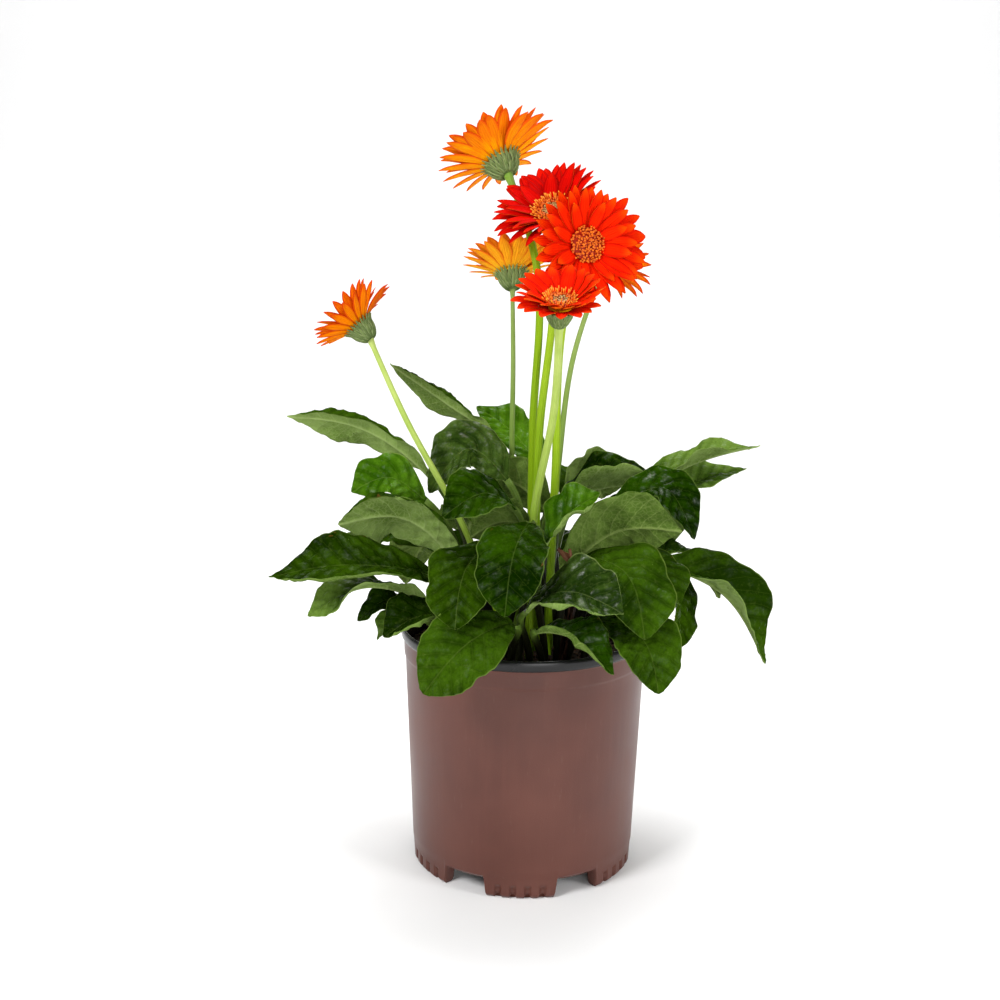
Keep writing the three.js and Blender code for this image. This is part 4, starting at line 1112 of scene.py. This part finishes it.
def make_leaves():
    seed = 0
    for name, leaves in [(n, (one,)) for n, one in LEAVES.items()] + list(LEAF_PAIRS.items()):
        build = Builder()
        for one in leaves:
            seed += 1
            add_leaf(build, one, seed)
        for scrap in SCRAPS.get(name, ()):
            add_scrap(build, *scrap)
        top, under = TONES[leaves[0].tone]
        slot = "leaf_underside" if leaves[0].face[1] > 0.5 else "leaf_top"
        build.make(name + "_veined", name, slot, [LEAF_TOPS[top], LEAF_UNDERSIDES[under],
                   *(LEAF_PARTS[part] for part in ("stalk", "withered", "yellowed"))])


# ------------------------------------------------------------------ flower heads

PLATE_TOP = 1.5
PLATE_BOTTOM = -1.1
PETAL_BEND = 10.0
PETAL_ROWS = 12
PETAL_ACROSS = (-1, -0.83, -0.67, -0.5, -0.33, -0.17, 0, 0.17, 0.33, 0.5, 0.67, 0.83, 1)
PETAL_THICKNESS = 0.4
EXTRA_PETALS = 6         # in a whorl, beyond the few wide ones that carry the head's shape
# Each whorl of petals: length against the outermost, rise over it in degrees, share of the count
WHORLS = {
    "red": ((1.0, 0.0, 1.0), (0.93, 8.0, 1.0), (0.72, 14.0, 0.4)),
    "orange": ((1.0, 0.0, 1.0), (0.93, 9.0, 1.0)),
}
# Shares of a head's radius
CUP_SHARE = 0.24
DISC_SHARE = 0.27
PLATE_SHARE = 0.2
PETAL_FOOT_SHARE = 0.22
BRACT_SHARE = 0.35
CUP_DEPTH = 12.0
SCAPE_RADIUS = 2.5
SCAPE_FOOT = 1.08
SCAPE_COLUMNS = 20
SCAPE_ROWS = 18          # between two points
BRACT_ROWS = 9
BRACT_ACROSS = (-1, -0.5, 0, 0.5, 1)
BRACT_THICKNESS = 0.45
FLORET_COLUMNS = 6
FLORET_RADIUS = 0.56
RAY_FLORET_RADIUS = 0.32
RAY_FLORET_LENGTH = 5.2
PLATE_COLUMNS = 28
CUP_COLUMNS = 32


def flower(kind, centre, look, radius, cup, petals, root, via, **shape):
    """A flower head at centre that looks along look, on a stalk from root (distance and angle)
    over the points via. cup is its petals' slope in degrees.

    Of the shape, stalk is the stalk's thickness as a share and scape its look, lifted and loose
    how far the petals rise above the cup's slope and how much that differs, in degrees, slim
    their width as a share, blunt whether they round off, and young whether only the outer
    florets are open."""
    usual = dict(stalk=1, scape="grey", lifted=0, loose=11, slim=1.0, blunt=False, young=True,
                 face=kind + "_face", back="orange_back")
    return SimpleNamespace(kind=kind, centre=Vector(centre), look=Vector(look).normalized(),
                           radius=radius, cup=cup, petals=petals, root=root, via=via,
                           **{**usual, **shape})


HEADS = {
    "far_left": flower("orange", (-107, -2, 352), (-0.69, 0.2, 0.69), 32, 25, 11, (17, 222),
        ((-37, -14, 219), (-79, -9, 298)), stalk=0.9, scape="pale", loose=34, slim=0.76,
        back="deep_orange_back"),
    "top": flower("orange", (-19.5, 44, 454), (-0.44, 0.52, 0.73), 42, 13, 14, (9, 70),
        ((3, 3, 290), (4, -1, 387)), scape="tall", loose=20, slim=0.92),
    "red_left": flower("red", (13, -2, 421), (-0.3, -0.57, 0.77), 38, 10, 13, (10, 318),
        ((7, -9, 290), (14, -5, 360)), scape="light", lifted=8, loose=14, face="deep_red_face"),
    "red_front": flower("red", (30.5, -42.5, 404), (0.37, -0.91, 0.17), 39, 12, 14, (22, 310),
        # its petal backs are lightened as painted light against the shade of the red heads above
        ((17, -20, 265), (19, -22, 350)), scape="light", blunt=True, young=False),
    "small_back": flower("orange", (-12, 34, 384), (-0.1, 0.47, 0.88), 34, 18, 11, (17, 108),
        ((-10, 26, 260), (-10, 28, 330)), stalk=0.75, back="light_orange_back"),
    "low_front": flower("red", (15, -91, 371), (0.03, -0.38, 0.92), 30, 14, 11, (25, 275),
        ((4, -30, 240), (14, -50, 305)), scape="pale", lifted=12, loose=24, blunt=True),
    "right_back": flower("orange", (47, 10, 390), (0.35, 0.6, 0.6), 31, 16, 11, (16, 352),
        ((20, -1, 270), (28, 0, 335)), stalk=0.8, loose=30, slim=0.62, back="deep_orange_back"),
}


def head_turn(head):
    """The turn and move from a head that faces straight up to its place on the plant."""
    turn = UP.rotation_difference(head.look).to_matrix().to_4x4()
    return Matrix.Translation(head.centre) @ turn


def petal_width(s, blunt):
    """Half-width over the length, as a share: blunt petals round off at the end, the others narrow
    to a point from the middle on."""
    opening = mix(0.34, 1.0, smooth(0.0, 0.5, s))
    if blunt:
        return opening * (1 - 0.95 * (max(s - 0.56, 0.0) / 0.44) ** 2.3) ** 0.66
    return opening * (1 - (max(s - 0.5, 0.0) / 0.5) ** 1.7) ** 0.78 + 0.05


def add_petal(build, head, layer, whorl, k, count, place):
    """One petal of a whorl: a strip that rises from the plate, bends over and turns a little."""
    reach, rise, share = whorl
    seed = 13 * k + 31 * layer + 7 * head.seed
    plate = head.radius * (PETAL_FOOT_SHARE - 0.02 * layer)
    middle = (0.1 + PLATE_TOP) / 2 if layer else (PLATE_BOTTOM + 0.3) / 2
    angle = math.radians(about(k + 0.5 * layer, 0.6, seed + 2) * 360 / count)
    length = (head.radius - plate) * reach * about(1, 0.2, seed + 3)
    slope = about(head.cup + rise + head.lifted, head.loose, seed + 5)
    bend = about(PETAL_BEND, 12, seed + 11)
    roll = math.radians(about(0, 46, seed + 17))
    swing = math.radians(about(0, 10, seed))
    ease = about(1, 1.6, seed + 23)
    half = math.pi * head.radius * (0.72 if head.blunt else 0.68) * share / count * head.slim
    half *= about(1, 0.3, seed + 8)
    start = Vector((plate - 1.2, middle))
    knee = start + Vector(polar(length / 2, slope + bend))
    end = knee + Vector(polar(length / 2, slope - bend))
    turn = place.to_3x3()
    stations = []
    for i in range(PETAL_ROWS + 1):
        s = 1 - (1 - i / PETAL_ROWS) ** 1.25
        flat, way = bent_path(start, knee, end, s)
        flat.y += ease * s * s
        a = angle + swing * s
        out = Vector((math.cos(a), math.sin(a), 0))
        direction = (out * way.x + UP * way.y).normalized()
        normal = (UP * way.x - out * way.y).normalized()
        normal = (Matrix.Rotation(roll * s, 3, direction) @ normal).normalized()
        at = place @ (out * flat.x + UP * flat.y)
        width = half * petal_width(s, head.blunt)
        stations.append((s, at, turn @ direction, turn @ normal, width))
    hollow = about(0.7, 1.1, seed + 29)

    def crown(u, s):
        open_up = smooth(0.0, 0.3, s) * (1 - smooth(0.85, 1.0, s))
        return open_up * (hollow * u * u + 0.16 * math.cos(3 * math.pi * u))

    add_strip(build, stations, PETAL_ACROSS, PETAL_THICKNESS, crown, about(0.5, 1, seed + 37),
              (0, 1), about(0.5, 0.8, seed + 41) if head.blunt else 0.0)


def add_turned(build, profile, columns, place, mark, sheet=(0.0, 0.0, 0.0)):
    """A closed body of rings around the head's own axis; profile is a list of (radius, height)."""
    rings = []
    for r, z in profile:
        circle = [polar(r, 360 * j / columns) for j in range(columns)]
        rings.append([build.point(place @ Vector((x, y, z)), sheet) for x, y in circle])
    build.body(rings, mark)


def make_rays(name, head, place):
    build = Builder()
    for layer, whorl in enumerate(WHORLS[head.kind]):
        count = round((head.petals + EXTRA_PETALS) * whorl[2])
        for k in range(count):
            add_petal(build, head, layer, whorl, k, count, place)
    plate = head.radius * PLATE_SHARE
    profile = [(plate * 0.7, PLATE_BOTTOM), (plate + 0.6, PLATE_BOTTOM + 0.3), (plate + 0.8, 0.5),
               (plate, PLATE_TOP), (plate * 0.5, PLATE_TOP + 0.2)]
    add_turned(build, profile, PLATE_COLUMNS, place, 1)
    build.make(f"rays_{name}_petals", f"rays_{name}", f"petal_{head.kind}",
               [PETALS[head.face], PETALS[head.back]])


def add_floret(build, place, at, lean, height, radius, draw, mark):
    """A small tube that opens at its end, standing at a point of the disc and leaning outward."""
    out = Vector((at.x, at.y, 0))
    out = out.normalized() if out.length > 0 else Vector((1, 0, 0))
    axis = (UP + out * lean).normalized()
    across = Vector((-out.y, out.x, 0))
    other = axis.cross(across)
    rings = []
    for share, wide in ((-0.25, 0.8), (0.35, 0.72), (0.75, 0.9), (1.0, 1.25), (0.86, 0.5)):
        ring = []
        for j in range(FLORET_COLUMNS):
            c, s = polar(radius * wide, 360 / FLORET_COLUMNS * j)
            flare = 0.1 * height * (j % 2) if share == 1.0 else 0.0
            p = at + axis * (height * share + flare) + across * c + other * s
            ring.append(build.point(place @ p, (j / FLORET_COLUMNS, max(share, 0.0), draw)))
        rings.append(ring)
    build.body(rings, mark)


def make_disc(name, head, place):
    """A dome of small florets. On younger heads only the outer ones stand up and open."""
    build = Builder()
    wide = DISC_SHARE * head.radius
    base = PLATE_TOP + 0.35
    dome = ((0.62, 0.0), (0.78, 0.8), (0.95, 2.0), (0.9, 2.5), (0.6, 3.0), (0.2, 3.4))
    add_turned(build, [(wide * r, base + z) for r, z in dome], PLATE_COLUMNS, place, 3,
               (0.0, 0.2, 0.5))
    count = round(0.12 * head.radius * head.radius)
    for k in range(count):
        share = math.sqrt((k + 0.5) / count)
        x, y = polar(wide * share + 0.8 * scatter(k), GOLDEN_ANGLE * k + 16 * scatter(k + 500))
        z = base + 1.7 + 1.6 * (1 - share * share)
        height = 1.6 * (1 + 0.8 * scatter(k + 1000))
        if head.young:
            height = mix(0.9, 1.9, smooth(0.3, 0.8, share)) * about(1, 0.3, k)
        add_floret(build, place, Vector((x, y, z)), 0.4 * share + 0.9 * scatter(k + 1500), height,
                   FLORET_RADIUS, 0.5 + scatter(k + 2000), int(head.young and share < 0.5))
    rays = round(2.0 * head.radius) if head.young else 0
    for k in range(rays):
        x, y = polar(wide * about(0.78, 0.4, k + 9), 360 * about(k, 0.5, k + 5) / rays)
        add_floret(build, place, Vector((x, y, base + 2.0)), about(0.7, 0.9, k + 2),
                   RAY_FLORET_LENGTH * about(1, 0.4, k), RAY_FLORET_RADIUS, about(0.5, 1, k), 2)
    build.make(f"disc_{name}_florets", f"disc_{name}", "flower_disc", list(FLORETS.values()))


def add_bract(build, place, angle, path, half, draw):
    """A narrow pointed bract along a path of (distance from the axis, height) points."""
    out = Vector((*polar(1, angle), 0))
    turn = place.to_3x3()
    stations = []
    for i in range(BRACT_ROWS + 1):
        s = i / BRACT_ROWS
        flat, way = bent_path(*path, s)
        at = place @ (out * flat.x + UP * flat.y)
        direction, normal = out * way.x + UP * way.y, out * way.y - UP * way.x
        width = half * (0.85 + 0.4 * s - 1.25 * s ** 2.2) + 0.08
        stations.append((s, at, turn @ direction, turn @ normal, width))
    add_strip(build, stations, BRACT_ACROSS, BRACT_THICKNESS, lambda u, s: -0.5 * u * u, draw,
              (1, 1))


def add_scape(build, head):
    """The stalk from below the soil to the cup, ribbed and swollen under the cup."""
    x, y = polar(*head.root)
    end = head.centre - head.look * (CUP_DEPTH - 3)
    curve = StalkCurve([(x, y, SOIL_TOP + 1), *head.via, end], 0.6)
    thickness = SCAPE_RADIUS * head.stalk
    taper = 0.2 if head.stalk == 1 else 0.36
    rings = []

    def add_ring(at, direction, radius, share):
        across = (Vector((1, 0, 0)) - direction * direction.x).normalized()
        other = direction.cross(across)
        row = []
        for j in range(SCAPE_COLUMNS):
            ribbed = radius * (1 + 0.02 * math.cos(5 * math.tau * j / SCAPE_COLUMNS))
            c, s = polar(ribbed, 360 * j / SCAPE_COLUMNS)
            turn = abs(2 * j / SCAPE_COLUMNS - 1) * math.pi
            row.append(build.point(at + across * c + other * s, (turn, share, 0.0)))
        rings.append(row)

    add_ring(Vector((x, y, SOIL_TOP - ROOT_DEPTH)), UP, thickness, 0.0)
    pieces = len(curve.points) - 1
    for i in range(pieces):
        for k in range(SCAPE_ROWS + (i == pieces - 1)):
            share = (i + k / SCAPE_ROWS) / pieces
            swell = 0.9 * smooth(0.94, 1.0, share)
            at, direction = curve.at(i, k / SCAPE_ROWS)
            add_ring(at, direction, thickness * (SCAPE_FOOT - taper * share) + swell, share)
    build.body(rings)


def add_cup(build, head, place):
    """The green cup under the petals, covered by four rows of bracts."""
    cup, deep = head.radius * CUP_SHARE, -CUP_DEPTH
    profile = [(0.3, deep), (0.47, deep * 0.93), (0.64, deep * 0.79), (0.8, deep * 0.64),
               (0.9, deep * 0.48), (0.97, deep * 0.34), (0.98, -3.0), (0.93, PLATE_BOTTOM - 0.35)]
    add_turned(build, [(cup * r, z) for r, z in profile], CUP_COLUMNS, place, 1, (0.0, 0.4, 0.5))
    slope = math.tan(math.radians(head.cup + PETAL_BEND - 2))
    reach = head.radius * BRACT_SHARE
    rim = PLATE_BOTTOM - 0.1 + (reach - PETAL_FOOT_SHARE * head.radius) * slope - 0.9
    # Each row's count, half-width and path, from the foot of the cup up to its rim
    rows = (
        (17, 1.2, (0.42 * cup, deep - 0.2), (0.92 * cup, deep * 0.85), (1.06 * cup, deep * 0.35)),
        (20, 1.15, (0.72 * cup, deep * 0.8), (1.12 * cup, deep * 0.6), (1.14 * cup, -1.4)),
        (22, 1.1, (0.95 * cup, deep * 0.55), (1.17 * cup, -2.8), (0.85 * reach, rim - 0.8)),
        (24, 0.95, (cup, -4.0), (1.17 * cup, -1.8), (reach, rim)),
    )
    for row, (count, half, *path) in enumerate(rows):
        foot, knee, tip = (Vector(p) for p in path)
        for k in range(count):
            seed = 17 * row + k + head.seed
            stretched = knee + (tip - knee) * about(1, 0.3, seed)
            angle = 360 * about(k + 0.5 * (row % 2), 0.3, seed + 4) / count
            add_bract(build, place, angle, (foot, knee, stretched), half, about(0.5, 1, seed + 8))


def make_scape(name, head, place):
    build = Builder()
    add_scape(build, head)
    add_cup(build, head, place)
    build.make(f"scape_{name}_ribbed", f"scape_{name}", "green_stalk", [SCAPES[head.scape], BRACT])


# ------------------------------------------------------------------ everything in its place

make_pot()
make_soil()
make_leaves()
for index, (head_name, head) in enumerate(HEADS.items()):
    head.seed = index
    placed = head_turn(head)
    make_rays(head_name, head, placed)
    make_disc(head_name, head, placed)
    make_scape(head_name, head, placed)
